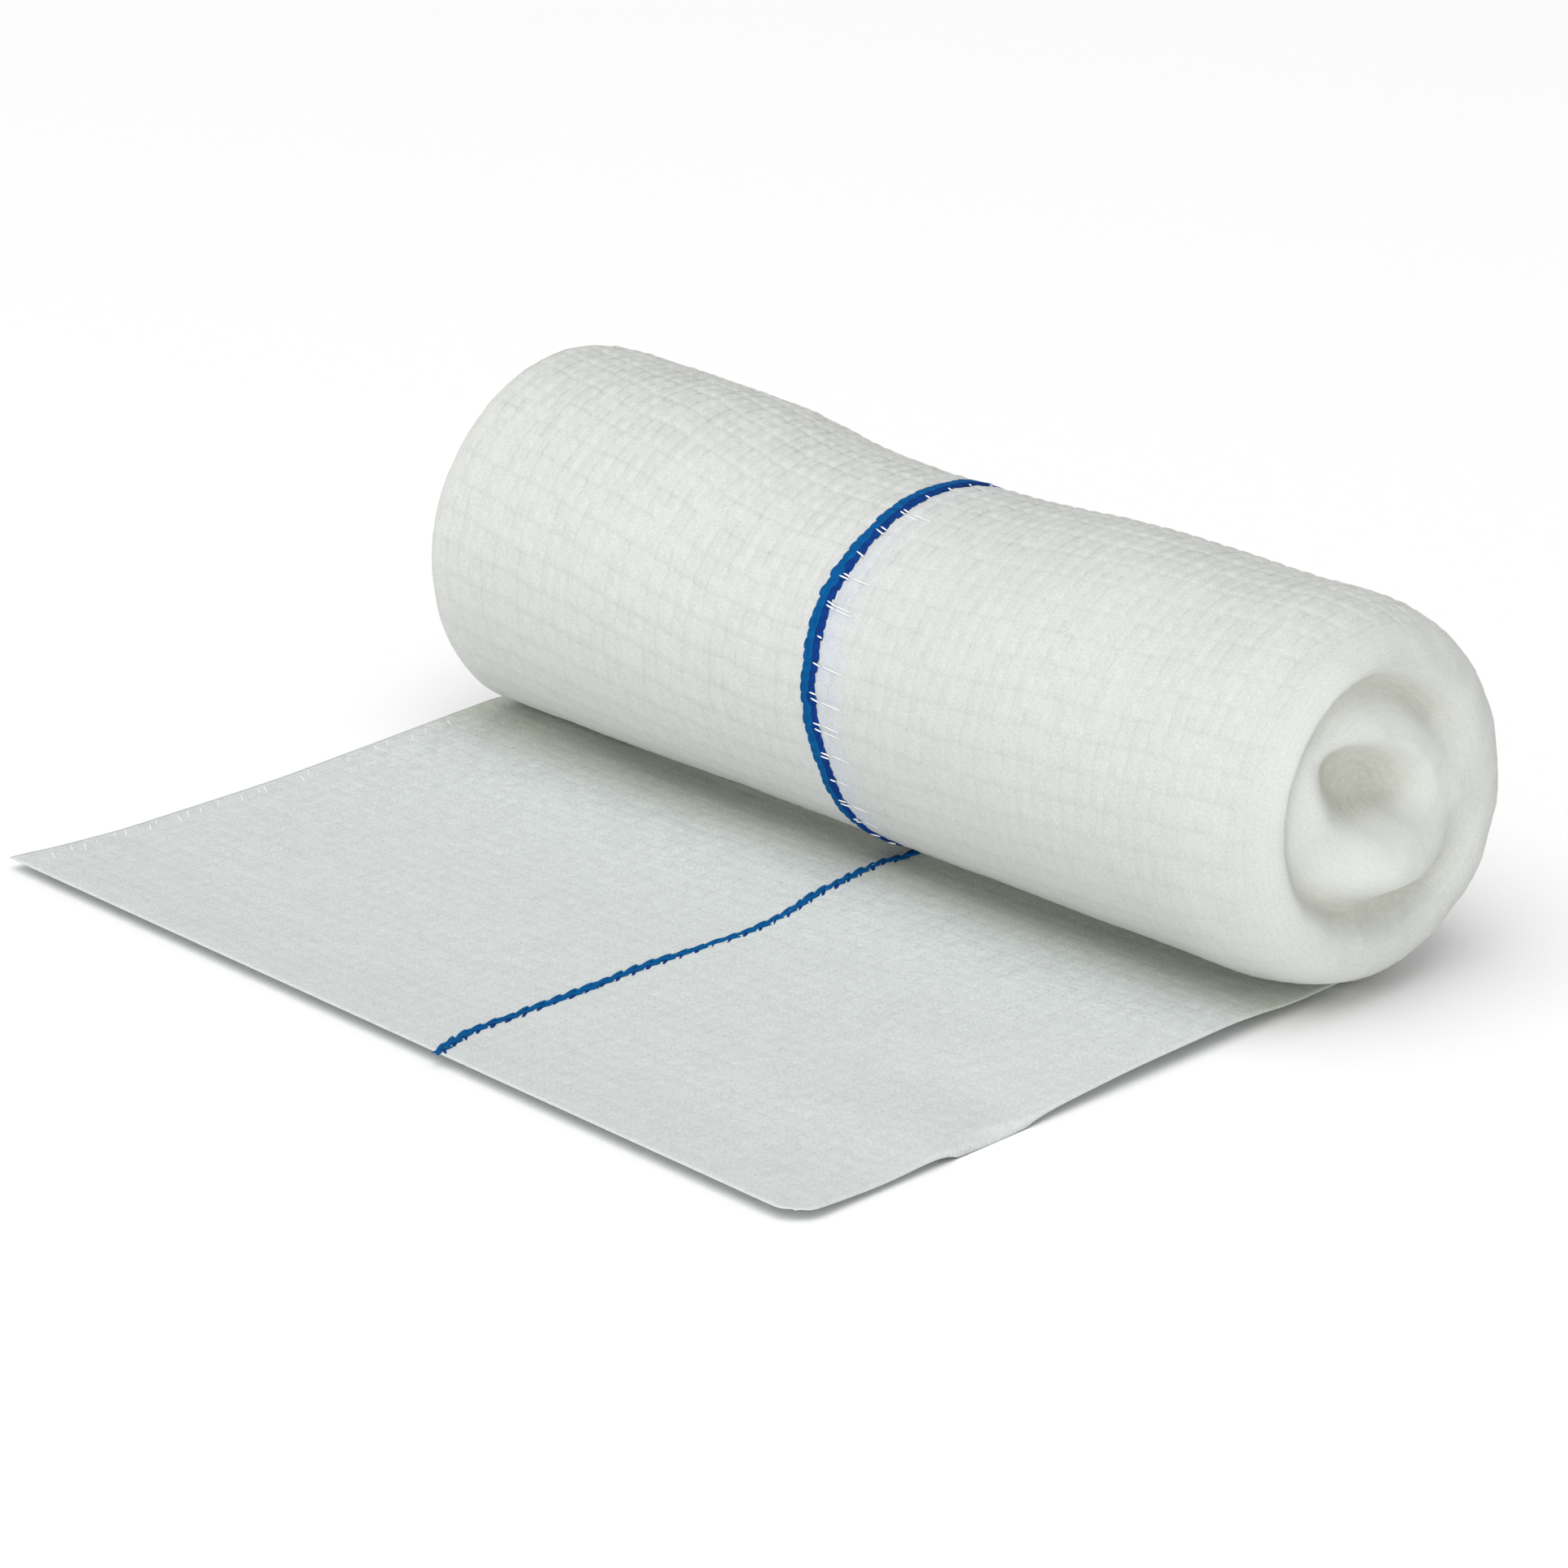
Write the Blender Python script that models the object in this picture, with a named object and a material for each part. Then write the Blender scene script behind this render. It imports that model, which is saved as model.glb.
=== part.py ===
"""Gauze bandage roll: a soft wound cylinder with its loose end laid out on the surface.

The roll's axis runs along X, and the end that shows the winding faces +X. The loose end runs
out towards -Y. The surface is z = 0, and the origin lies on it, under the roll's axis. Each
place in the tables is a real place on the object, in millimetres.
"""
import math
from bisect import bisect_right
from collections import namedtuple

import bmesh
import bpy

MM = 0.001
COLLECTION_NAME = "gauze_bandage_roll"

# Driving sizes of the roll, mm
ROLL_FAR_END = -38.2
ROLL_NEAR_END = 39.1
SAG = 0.1                      # the axis sinks by this much under the roll's own weight
FLAT_SPOT_HEIGHT = 0.1         # what would lie below this height is pressed flat on the surface
FAR_SHOULDER_LENGTH = 2.4
FAR_SHOULDER_DEPTH = 4.2
NEAR_SHOULDER_LENGTH = 7.6     # longer, because the turns creep out towards this end
NEAR_SHOULDER_DEPTH = 4.3

# Driving sizes of the loose end, mm
SHEET_THICKNESS = 1.0
FREE_EDGE = -47.5              # distance of the cut edge from the roll's axis
BACK_EDGE = -4.2               # the sheet thins to this line, where the roll presses on it
FAR_EDGE = -38.6
NEAR_EDGE = 35.6
CORNER_ROUNDING = 1.2
SEAT_GAP = 0.3                 # clearance between the sheet and the roll

# Mesh steps
ROUND_STEPS = 72
BODY_STEPS = 14
SHOULDER_STEPS = 7
NEAR_FACE_STEPS = 15
FAR_FACE_STEPS = 7
SHEET_COLUMNS = 30
SHEET_ROWS = 24

# Girth of the roll. The marker thread is tighter than the cloth, and draws in a waist round it.
Girth = namedtuple("Girth", "x radius")
GIRTHS = (
    Girth(-34.0, 13.40),
    Girth(-26.0, 13.34),
    Girth(-18.0, 13.12),
    Girth(-12.0, 12.70),
    Girth(-6.0, 12.49),
    Girth(2.0, 12.48),
    Girth(8.0, 12.58),
    Girth(13.0, 12.77),
    Girth(19.0, 12.84),
    Girth(27.0, 12.74),
    Girth(34.0, 12.88),
)

# Groove between the outer turns and the inner coil on the near end, followed round the axis.
# Angle 0 points to +Y and 90 points up.
Groove = namedtuple("Groove", "angle radius depth")
NEAR_GROOVE = (
    Groove(-8.0, 7.6, 0.5),
    Groove(13.0, 7.6, 0.9),
    Groove(35.0, 7.2, 1.7),
    Groove(61.0, 7.1, 2.1),
    Groove(90.0, 7.8, 2.2),
    Groove(121.0, 9.2, 1.9),
    Groove(150.0, 9.8, 1.1),
    Groove(176.0, 9.0, 0.6),
    Groove(200.0, 8.2, 1.1),
    Groove(231.0, 7.4, 2.1),
    Groove(270.0, 7.0, 2.2),
    Groove(299.0, 7.3, 1.9),
    Groove(331.0, 7.8, 1.4),
    Groove(352.0, 7.6, 0.5),
)
NEAR_GROOVE_WIDTH = 0.8
NEAR_GROOVE_RING = 7.4         # the ring of the face's mesh that is drawn on to the groove

# Half-moon hollow above the cloth's folded inner end, in the middle of the coil
HOLLOW_CENTRE = 1.9            # along Y
HOLLOW_HALF_WIDTH = 5.6
HOLLOW_HEIGHT = 3.4
HOLLOW_DEPTH = 2.8
HOLLOW_LIP_HEIGHT = 0.2        # of its lower lip at its centre, above the axis
HOLLOW_LIP_SLOPE = -0.12
HOLLOW_LIP_BLEND = 1.6
TONGUE_RISE = 0.9              # the folded end bulges by this much under the lip
TONGUE_HALF_WIDTH = 3.6
TONGUE_HALF_HEIGHT = 2.4
TONGUE_CENTRE = (2.2, -2.6)

# The far end shows in no picture: a plain coil with a shallow groove and a dimple
FAR_GROOVE_RADIUS = 6.0
FAR_GROOVE_TURN_IN = 2.2       # the groove nears the axis by this much in one turn
FAR_GROOVE_DEPTH = 1.0
FAR_GROOVE_WIDTH = 1.1
FAR_DIMPLE_RADIUS = 2.6
FAR_DIMPLE_DEPTH = 1.6

# Height of the loose end's underside over the surface. It keeps a little of the roll's curl:
# it humps before it goes under the roll, and its far corner curls up.
Lift = namedtuple("Lift", "y far middle near")
LIFTS = (
    Lift(-47.5, 0.60, 0.00, 0.00),
    Lift(-44.0, 0.38, 0.00, 0.00),
    Lift(-40.0, 0.12, 0.00, 0.04),
    Lift(-36.0, 0.00, 0.00, 0.22),
    Lift(-33.0, 0.00, 0.00, 0.16),
    Lift(-29.5, 0.00, 0.00, 0.04),
    Lift(-25.0, 0.12, 0.00, 0.28),
    Lift(-20.0, 0.38, 0.10, 0.52),
    Lift(-15.0, 0.60, 0.42, 0.62),
    Lift(-11.0, 0.66, 0.60, 0.64),
    Lift(-8.0, 0.44, 0.42, 0.40),
    Lift(-5.5, 0.00, 0.00, 0.00),
)
FLAT_MIDDLE_SHARE = 0.4        # of the width, where the middle column holds

GAUZE_WHITE = (0.77, 0.79, 0.76, 1.0)
LOOSE_END_WHITE = (0.67, 0.71, 0.70, 1.0)
GAUZE_ROUGHNESS = 0.92


def smooth_value(rows, column, at):
    """Read one column of a table at any place, on a smooth curve through its rows."""
    places = [row[0] for row in rows]
    values = [getattr(row, column) for row in rows]
    if at <= places[0]:
        return values[0]
    if at >= places[-1]:
        return values[-1]

    def slope(index):
        before = max(index - 1, 0)
        after = min(index + 1, len(rows) - 1)
        return (values[after] - values[before]) / (places[after] - places[before])

    start = bisect_right(places, at) - 1
    span = places[start + 1] - places[start]
    part = (at - places[start]) / span
    from_start = (1 + 2 * part) * (1 - part) ** 2 * values[start]
    from_end = part * part * (3 - 2 * part) * values[start + 1]
    leaving = part * (1 - part) ** 2 * span * slope(start)
    arriving = part * part * (part - 1) * span * slope(start + 1)
    return from_start + from_end + leaving + arriving


def ease(value):
    """Go from 0 to 1 smoothly, and stay at either end."""
    value = min(max(value, 0.0), 1.0)
    return value * value * (3 - 2 * value)


def bell(distance, width):
    return math.exp(-((distance / width) ** 2))


def remove_everything():
    for old in list(bpy.data.objects):
        bpy.data.objects.remove(old, do_unlink=True)


def make_material(name, colour, roughness):
    material = bpy.data.materials.new(name)
    material.use_nodes = True
    shader = material.node_tree.nodes["Principled BSDF"]
    shader.inputs["Base Color"].default_value = colour
    shader.inputs["Roughness"].default_value = roughness
    shader.inputs["Metallic"].default_value = 0.0
    return material


def make_object(name, mesh_builder, material, collection):
    mesh = bpy.data.meshes.new(name)
    mesh_builder.to_mesh(mesh)
    mesh_builder.free()
    mesh.materials.append(material)
    mesh.shade_smooth()
    piece = bpy.data.objects.new(name, mesh)
    collection.objects.link(piece)
    return piece


def shoulder_points(face_x, rim_radius, length, depth, outward):
    """Quarter ellipse from an end face to the roll's side. outward is the face's X direction."""
    points = []
    for step in range(1, SHOULDER_STEPS + 1):
        turn = math.pi / 2 * step / SHOULDER_STEPS
        x = face_x - outward * length * (1 - math.cos(turn))
        points.append((x, rim_radius - depth * (1 - math.sin(turn))))
    return points


def roll_profile():
    """Half outline of the roll, from the far end's middle to the near end's middle."""
    side_start = ROLL_FAR_END + FAR_SHOULDER_LENGTH
    side_end = ROLL_NEAR_END - NEAR_SHOULDER_LENGTH
    far_rim = smooth_value(GIRTHS, "radius", side_start)
    near_rim = smooth_value(GIRTHS, "radius", side_end)

    far_face = far_rim - FAR_SHOULDER_DEPTH
    points = [(ROLL_FAR_END, far_face * step / FAR_FACE_STEPS) for step in range(FAR_FACE_STEPS + 1)]
    points += shoulder_points(ROLL_FAR_END, far_rim, FAR_SHOULDER_LENGTH, FAR_SHOULDER_DEPTH, -1)

    for step in range(1, BODY_STEPS):
        x = side_start + (side_end - side_start) * step / BODY_STEPS
        points.append((x, smooth_value(GIRTHS, "radius", x)))

    near_face = near_rim - NEAR_SHOULDER_DEPTH
    near_end = shoulder_points(ROLL_NEAR_END, near_rim, NEAR_SHOULDER_LENGTH, NEAR_SHOULDER_DEPTH, 1)
    points += reversed(near_end)
    points += [(ROLL_NEAR_END, near_face * (NEAR_FACE_STEPS - step) / NEAR_FACE_STEPS)
               for step in range(NEAR_FACE_STEPS + 1)]
    return points


def hollow_relief(across, up):
    """Depth of the half-moon hollow, and the bulge of the folded cloth end under its lip."""
    aside = (across - HOLLOW_CENTRE) / HOLLOW_HALF_WIDTH
    lip = HOLLOW_LIP_HEIGHT + HOLLOW_LIP_SLOPE * (across - HOLLOW_CENTRE)
    over_lip = up - lip
    bulge = TONGUE_RISE * bell(across - TONGUE_CENTRE[0], TONGUE_HALF_WIDTH)
    bulge *= bell(up - TONGUE_CENTRE[1], TONGUE_HALF_HEIGHT) * ease(0.5 - over_lip / HOLLOW_LIP_BLEND)
    if abs(aside) >= 1.0:
        return bulge
    roof = HOLLOW_HEIGHT * math.sqrt(1 - aside * aside) + HOLLOW_LIP_BLEND
    wall = ease(0.5 + over_lip / HOLLOW_LIP_BLEND)
    slope = 1.0 - min(max(over_lip, 0.0) / roof, 1.0) ** 2
    return bulge - HOLLOW_DEPTH * wall * slope * ease(2.2 * (1 - abs(aside)))


def near_groove(column, angle):
    """Read the near groove's radius or depth at an angle in degrees."""
    if angle > NEAR_GROOVE[-1].angle:
        angle -= 360
    return smooth_value(NEAR_GROOVE, column, angle)


def near_stretch(across, up):
    """Share by which the near face's rings are drawn out or in, so that one follows the groove."""
    radius = math.hypot(across, up)
    angle = math.degrees(math.atan2(up, across)) % 360
    rim = smooth_value(GIRTHS, "radius", ROLL_NEAR_END)
    share = ease((rim - radius) / (rim - NEAR_GROOVE_RING))
    return 1 + share * (near_groove("radius", angle) / NEAR_GROOVE_RING - 1)


def near_relief(across, up):
    """How far the near end stands out of its plane, or lies behind it, beside the axis."""
    stretch = near_stretch(across, up)
    angle = math.degrees(math.atan2(up, across)) % 360
    groove = bell(math.hypot(across, up) - NEAR_GROOVE_RING, NEAR_GROOVE_WIDTH)
    return hollow_relief(across * stretch, up * stretch) - near_groove("depth", angle) * groove


def far_relief(across, up):
    """The same for the far end, where the winding is plain."""
    radius = math.hypot(across, up)
    turn = (math.atan2(up, across) / math.tau) % 1.0
    groove_radius = FAR_GROOVE_RADIUS - FAR_GROOVE_TURN_IN * turn
    fade = ease(5 * turn) * ease(5 * (1 - turn))
    groove = FAR_GROOVE_DEPTH * fade * bell(radius - groove_radius, FAR_GROOVE_WIDTH)
    return -groove - FAR_DIMPLE_DEPTH * bell(radius, FAR_DIMPLE_RADIUS)


def shape_roll_vertex(place):
    """Press the winding into the end faces, set the roll on the surface and flatten its foot."""
    x, across, up = place
    near_share = ease((x - (ROLL_NEAR_END - 4.0)) / 3.0)
    far_share = ease(((ROLL_FAR_END + 2.0) - x) / 1.5)
    shaped_x = x + near_share * near_relief(across, up) - far_share * far_relief(across, up)
    stretch = 1 + near_share * (near_stretch(across, up) - 1)
    height = up * stretch + smooth_value(GIRTHS, "radius", x) - SAG
    if height < FLAT_SPOT_HEIGHT:
        height = 0.0
    return shaped_x * MM, across * stretch * MM, height * MM


def build_roll(collection, material):
    """Spin the half outline round the axis, then give it what the winding and the weight do."""
    builder = bmesh.new()
    points = [builder.verts.new((x, 0.0, radius)) for x, radius in roll_profile()]
    edges = [builder.edges.new(pair) for pair in zip(points, points[1:])]
    bmesh.ops.spin(
        builder, geom=points + edges, cent=(0, 0, 0), axis=(1, 0, 0),
        angle=math.tau, steps=ROUND_STEPS, use_merge=True,
    )
    bmesh.ops.remove_doubles(builder, verts=builder.verts, dist=0.01)
    for vertex in builder.verts:
        vertex.co = shape_roll_vertex(vertex.co)
    bmesh.ops.triangulate(builder, faces=builder.faces)
    bmesh.ops.recalc_face_normals(builder, faces=builder.faces)
    return make_object("roll", builder, material, collection)


def sheet_lift(across_share, y):
    """Height of the sheet's underside, from its far edge at share 0 to its near edge at 1."""
    edge_column = "far" if across_share < 0.5 else "near"
    edge_share = ease((abs(2 * across_share - 1) - FLAT_MIDDLE_SHARE) / (1 - FLAT_MIDDLE_SHARE))
    middle = smooth_value(LIFTS, "middle", y)
    edge = smooth_value(LIFTS, edge_column, y)
    return max(middle + (edge - middle) * edge_share, 0.0)


def sheet_top(across_share, x, y):
    """Height of the sheet's upper side. Beside the roll it keeps the seat gap to its underside."""
    free_top = sheet_lift(across_share, y) + SHEET_THICKNESS
    radius = smooth_value(GIRTHS, "radius", x)
    if -y > radius:
        return free_top
    under_roll = radius - SAG - math.sqrt((radius + SEAT_GAP) ** 2 - y * y)
    return min(free_top, under_roll)


def sheet_place(across_share, along_share):
    """Plan place of a point of the sheet. along_share is 0 at the cut edge and 1 at the roll."""
    x = FAR_EDGE + (NEAR_EDGE - FAR_EDGE) * across_share
    y = FREE_EDGE + (BACK_EDGE - FREE_EDGE) * along_share
    if across_share == 1.0 and along_share == 0.0:
        x -= CORNER_ROUNDING / 2
        y += CORNER_ROUNDING / 2
    return x, y


def build_loose_end(collection, material):
    """Shape one grid to the sheet's underside and a copy of it, drawn up from it, to its top."""
    builder = bmesh.new()
    bmesh.ops.create_grid(builder, x_segments=SHEET_COLUMNS, y_segments=SHEET_ROWS, size=0.5)
    raised = bmesh.ops.extrude_face_region(builder, geom=builder.faces[:])
    top_points = {item for item in raised["geom"] if isinstance(item, bmesh.types.BMVert)}
    for vertex in builder.verts:
        across_share = round(vertex.co.x + 0.5, 6)
        x, y = sheet_place(across_share, round(vertex.co.y + 0.5, 6))
        if vertex in top_points:
            height = sheet_top(across_share, x, y)
        else:
            height = sheet_lift(across_share, y)
        vertex.co = x * MM, y * MM, height * MM
    bmesh.ops.recalc_face_normals(builder, faces=builder.faces)
    return make_object("loose_end", builder, material, collection)


def main():
    remove_everything()
    collection = bpy.data.collections.new(COLLECTION_NAME)
    bpy.context.scene.collection.children.link(collection)
    build_roll(collection, make_material("wound_gauze", GAUZE_WHITE, GAUZE_ROUGHNESS))
    build_loose_end(collection, make_material("loose_gauze", LOOSE_END_WHITE, GAUZE_ROUGHNESS))


main()
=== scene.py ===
"""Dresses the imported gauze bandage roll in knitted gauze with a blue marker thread.

Places and lengths in the tables and shape functions are millimetres in the model's own frame:
the roll's axis runs along X, the end that shows the winding faces +X, the loose end runs out
towards -Y, and the surface is z = 0. Angles go round the axis: 0 points to +Y, 90 points up and
180 points to -Y. The cloth comes in under the roll at -90 and ends there one turn later, at 270.
"""

import math
from collections import namedtuple

import bmesh
import bpy
import numpy as np
from bpy.props import FloatProperty, FloatVectorProperty, PointerProperty
from mathutils import Matrix, Vector, noise


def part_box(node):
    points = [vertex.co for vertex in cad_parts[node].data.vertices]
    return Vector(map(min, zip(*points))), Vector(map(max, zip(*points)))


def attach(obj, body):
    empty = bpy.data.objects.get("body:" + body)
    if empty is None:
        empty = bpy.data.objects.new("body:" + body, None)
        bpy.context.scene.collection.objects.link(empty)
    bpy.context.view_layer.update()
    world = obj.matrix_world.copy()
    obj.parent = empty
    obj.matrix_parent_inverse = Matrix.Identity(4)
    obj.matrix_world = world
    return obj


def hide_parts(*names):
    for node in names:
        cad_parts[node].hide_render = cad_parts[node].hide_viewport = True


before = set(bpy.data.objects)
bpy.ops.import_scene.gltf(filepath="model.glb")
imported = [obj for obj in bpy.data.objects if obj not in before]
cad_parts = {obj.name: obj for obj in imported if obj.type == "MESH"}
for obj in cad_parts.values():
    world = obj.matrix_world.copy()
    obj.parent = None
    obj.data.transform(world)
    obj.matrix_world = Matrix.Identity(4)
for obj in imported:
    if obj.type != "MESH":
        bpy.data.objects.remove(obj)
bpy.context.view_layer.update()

bl_info = {
    "name": "Gauze Bandage Roll",
    "version": (1, 0, 0),
    "blender": (4, 5, 0),
    "location": "View3D > Sidebar > Bandage",
    "description": "Dresses the bandage roll in knitted gauze with a blue marker thread",
    "category": "Object",
}

MM = 0.001
BODY = "root"

ROLL_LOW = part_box("roll")[0]
LOOSE_LOW, LOOSE_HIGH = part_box("loose_end")

# ---------------------------------------------------------------------------------------------
# The roll, mm
# ---------------------------------------------------------------------------------------------
ROLL_FAR_END = ROLL_LOW.x / MM
ROLL_NEAR_END = 39.1           # the plane of the near end, which its folded middle stands out of
SAG = 0.1                      # the axis sinks by this much under the roll's own weight
FAR_SHOULDER_LENGTH = 2.4
FAR_SHOULDER_DEPTH = 4.2
NEAR_SHOULDER_LENGTH = 7.6     # longer, because the turns creep out towards this end
NEAR_SHOULDER_DEPTH = 4.3
START_ANGLE = -90.0            # where the loose end goes under the roll and becomes its skin
TURN_STEP_ANGLE = 4.0          # the skin steps in by one layer over this angle, under the roll

# Girth of the roll. The marker thread is tighter than the cloth, and draws in a waist round it.
Girth = namedtuple("Girth", "x radius")
GIRTHS = (
    Girth(-34.0, 13.40),
    Girth(-26.0, 13.34),
    Girth(-18.0, 13.12),
    Girth(-12.0, 12.70),
    Girth(-6.0, 12.49),
    Girth(2.0, 12.48),
    Girth(8.0, 12.58),
    Girth(13.0, 12.77),
    Girth(19.0, 12.84),
    Girth(27.0, 12.74),
    Girth(34.0, 12.88),
)

# Groove between the outer turns and the inner coil on the near end, followed round the axis
Groove = namedtuple("Groove", "angle radius depth")
NEAR_GROOVE = (
    Groove(-5.0, 6.2, 0.15),
    Groove(12.0, 6.3, 0.35),
    Groove(33.0, 6.7, 1.0),
    Groove(55.0, 6.9, 1.6),
    Groove(82.0, 7.9, 1.7),
    Groove(108.0, 9.6, 1.6),
    Groove(122.0, 10.4, 1.4),
    Groove(140.0, 10.8, 1.1),
    Groove(152.0, 10.8, 0.8),
    Groove(164.0, 10.5, 0.6),
    Groove(176.0, 9.9, 0.6),
    Groove(200.0, 8.6, 1.2),
    Groove(221.0, 7.4, 1.6),
    Groove(245.0, 6.4, 1.8),
    Groove(275.0, 5.9, 1.8),
    Groove(306.0, 6.1, 1.7),
    Groove(331.0, 6.3, 1.0),
    Groove(355.0, 6.2, 0.15),
)
NEAR_GROOVE_RING = 7.285       # the ring of the face's mesh that is drawn on to the groove
GROOVE_OUTER_WIDTH = 1.0       # the turns round softly into the groove over this width
GROOVE_INNER_WIDTH = 1.9       # and the coil inside it over this one
RIM_HOLD = 3                   # power by which the rim keeps its place off an inward groove

# Half-moon hollow inside the coil's ring, over the lip of the cloth's folded inner end
Oval = namedtuple("Oval", "across up half_width half_height")
HOLLOW = Oval(-2.2, 2.8, 6.0, 2.9)
HOLLOW_TILT = 0.3              # its upper edge falls towards the right by this slope
HOLLOW_DEPTH = 2.4
HOLLOW_FOOT_SHARE = 0.6        # heights under its middle count by this share
HOLLOW_ROUNDING = 0.65         # share of the oval over which the ring rounds into it
TONGUE_LIP_HEIGHT = -0.1       # of the folded end's edge, at the middle of the hollow
TONGUE_LIP_BLEND = 2.8         # the folded end slopes gently into the hollow over this height
TONGUE = Oval(-0.2, -3.3, 4.8, 2.4)
TONGUE_RISE = 1.7
FACE_DENT = Oval(-6.2, -2.0, 2.6, 2.6)
FACE_DENT_DEPTH = 0.4

# The outer turns bulge towards the surface behind, at the near end's lower right
NEAR_BULGE = 0.75
NEAR_BULGE_ANGLE = -32.0
NEAR_BULGE_SPREAD = 36.0
NEAR_BULGE_LENGTH = 8.0

# The relief of an end fades in from its shoulder. Starts are distances from the end's plane.
Fade = namedtuple("Fade", "start length")
NEAR_RELIEF = Fade(4.0, 3.0)
NEAR_DRAW = Fade(NEAR_SHOULDER_LENGTH, 6.5)
FAR_RELIEF = Fade(2.0, 1.5)

# The side, with its knit, and the matted end faces part on the shoulders. Starts are shares by
# which the cloth faces along the axis.
KNIT_ENDS = Fade(0.12, 0.6)
RIM_STARTS = Fade(0.3, 0.5)

# The far end's plain coil
FAR_GROOVE_RADIUS = 6.0
FAR_GROOVE_TURN_IN = 2.2
FAR_GROOVE_FADE = 5            # it fades in and out over the fifth part of a turn
FAR_GROOVE_DEPTH = 0.7
FAR_GROOVE_WIDTH = 1.1
FAR_DIMPLE_RADIUS = 2.6
FAR_DIMPLE_DEPTH = 1.2

# Where painted shade darkens the near end's groove and hollow, and where its end faces
# are fluffy and whiter, with painted light on the near coil inside the groove
SHADED_GROOVE_DEPTH = 1.8      # depths at which the painted shade is quite dark
SHADED_HOLLOW_DEPTH = 2.0
SHADED_HOLLOW_POWER = 1.4
PAINTED_LIGHT_EDGE = 1.2               # the painted light starts over this width inside the groove
PAINTED_LIGHT_RISES = Fade(-7.0, 5.0)  # and from these heights over the axis
TURNS_FLUFF = 0.1

# Mesh steps of the roll. A rib takes four of them along the axis and a weft takes eight round it.
STEPS_PER_RIB = 4
STEPS_PER_WEFT = 8
MEAN_RADIUS = 12.9
SAME_POINT = 0.0005            # points nearer than this are merged where the grid closes
STITCH_DRAW = (97, 76)         # ribs and stitches after which the draw of uneven stitches repeats
STITCH_UNEVENNESS = 0.019
FAR_FACE_STEPS = 14
FAR_SHOULDER_STEPS = 14
NEAR_SHOULDER_STEPS = 34
NEAR_FACE_STEPS = 40

# Soft unevenness: its height, the size of its lumps, and which draw of the noise it is
Lumps = namedtuple("Lumps", "height size draw")
NOISE_STEP = (17.3, 5.9, 31.7)               # from one draw to the next
WEFT_WANDER = Lumps(0.26, 4.5, 1)
RIB_WANDER = Lumps(0.14, 4.0, 2)
WINDING_LUMPS = (Lumps(0.10, 9.0, 3), Lumps(0.05, 3.2, 4))
WINDING_CALM = 9.0             # the lumps fade towards an end's middle inside this radius
MATTED_LUMPS = (Lumps(0.12, 2.2, 5), Lumps(0.05, 0.8, 6))
MATTED_DRAW = 0.3              # they are drawn out along the axis, which counts by this share
TURN_EDGE_HEIGHT = 0.02
TURN_EDGE_CALM = 3.0           # the turns' edges fade towards an end's middle inside this radius

# Lines of the knit, as half widths. A weft's yarn stands up just before its line.
VALLEY_WIDTH = 0.21
WEFT_LINE_WIDTH = 0.18
WEFT_YARN_WIDTH = 0.42
WEFT_YARN_AHEAD = 0.45
WEFT_YARN_SUNK = 0.5           # share by which it sinks where it crosses a valley

# Height of the knit's relief round the roll. The cloth is pressed flatter down the front.
# The same shares set the strength of the knit's painted light and shade, most over the top.
Openness = namedtuple("Openness", "angle share")
KNIT_OPENNESS = (
    Openness(0.0, 0.7),
    Openness(35.0, 0.85),
    Openness(62.0, 1.45),
    Openness(90.0, 1.35),
    Openness(120.0, 0.95),
    Openness(150.0, 0.75),
    Openness(185.0, 0.6),
    Openness(220.0, 0.45),
    Openness(250.0, 0.5),
    Openness(300.0, 0.6),
    Openness(360.0, 0.7),
)
FAR_HALF_OPENNESS = 1.08       # share by which the far half's knit is more open
OPENNESS_DROP = 0.22           # and by how much less so the near half's is
OPENNESS_DROP_FROM = Fade(-10.0, 25.0)

# How far the wefts run ahead of the marker thread or fall behind it, round the roll. The tighter
# marker bends them into a bow.
Bow = namedtuple("Bow", "x lag")
WEFT_BOW = (
    Bow(-38.0, -3.6),
    Bow(-31.0, -2.75),
    Bow(-20.0, -1.4),
    Bow(-10.0, -0.2),
    Bow(0.0, 0.0),
    Bow(12.0, 0.0),
    Bow(22.0, -0.75),
    Bow(32.0, -1.6),
    Bow(39.0, -2.0),
)

# ---------------------------------------------------------------------------------------------
# The loose end, mm
# ---------------------------------------------------------------------------------------------
FREE_EDGE = LOOSE_LOW.y / MM - 0.7      # the cut edge frays out by the last bit
FAR_EDGE = LOOSE_LOW.x / MM
NEAR_EDGE = LOOSE_HIGH.x / MM
UNDER_ROLL_EDGE = 2.4          # the cloth is shown until it has joined the roll's skin here
LOOSE_WEFT_PITCH = 1.3         # the wefts spread out again where the cloth is let go
LOOSE_STEPS_PER_WEFT = 4
LOOSE_RISE = 0.06              # the knit keeps the cloth this much off what it lies on
CORNER_ROUNDING = 1.2
LOOSE_ROW_TILT = 0.10          # the wefts of the loose end run askew by this slope
LOOSE_ROW_TILT_START = 6.0     # and come straight over this distance from either end

# Height of the loose end's underside over the surface
Lift = namedtuple("Lift", "y far middle near")
LIFTS = (
    Lift(-48.2, 0.39, 0.39, 0.39),
    Lift(-45.5, 0.30, 0.22, 0.20),
    Lift(-42.0, 0.14, 0.04, 0.04),
    Lift(-39.5, 0.02, 0.00, 0.06),
    Lift(-36.0, 0.00, 0.00, 0.22),
    Lift(-33.0, 0.00, 0.00, 0.16),
    Lift(-29.5, 0.00, 0.00, 0.04),
    Lift(-25.0, 0.06, 0.00, 0.28),
    Lift(-20.0, 0.26, 0.08, 0.52),
    Lift(-15.0, 0.46, 0.34, 0.62),
    Lift(-11.0, 0.64, 0.46, 0.66),
    Lift(-8.0, 0.76, 0.36, 0.52),
    Lift(-6.0, 0.82, 0.10, 0.36),
    Lift(-4.0, 0.70, 0.00, 0.30),
)
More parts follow.
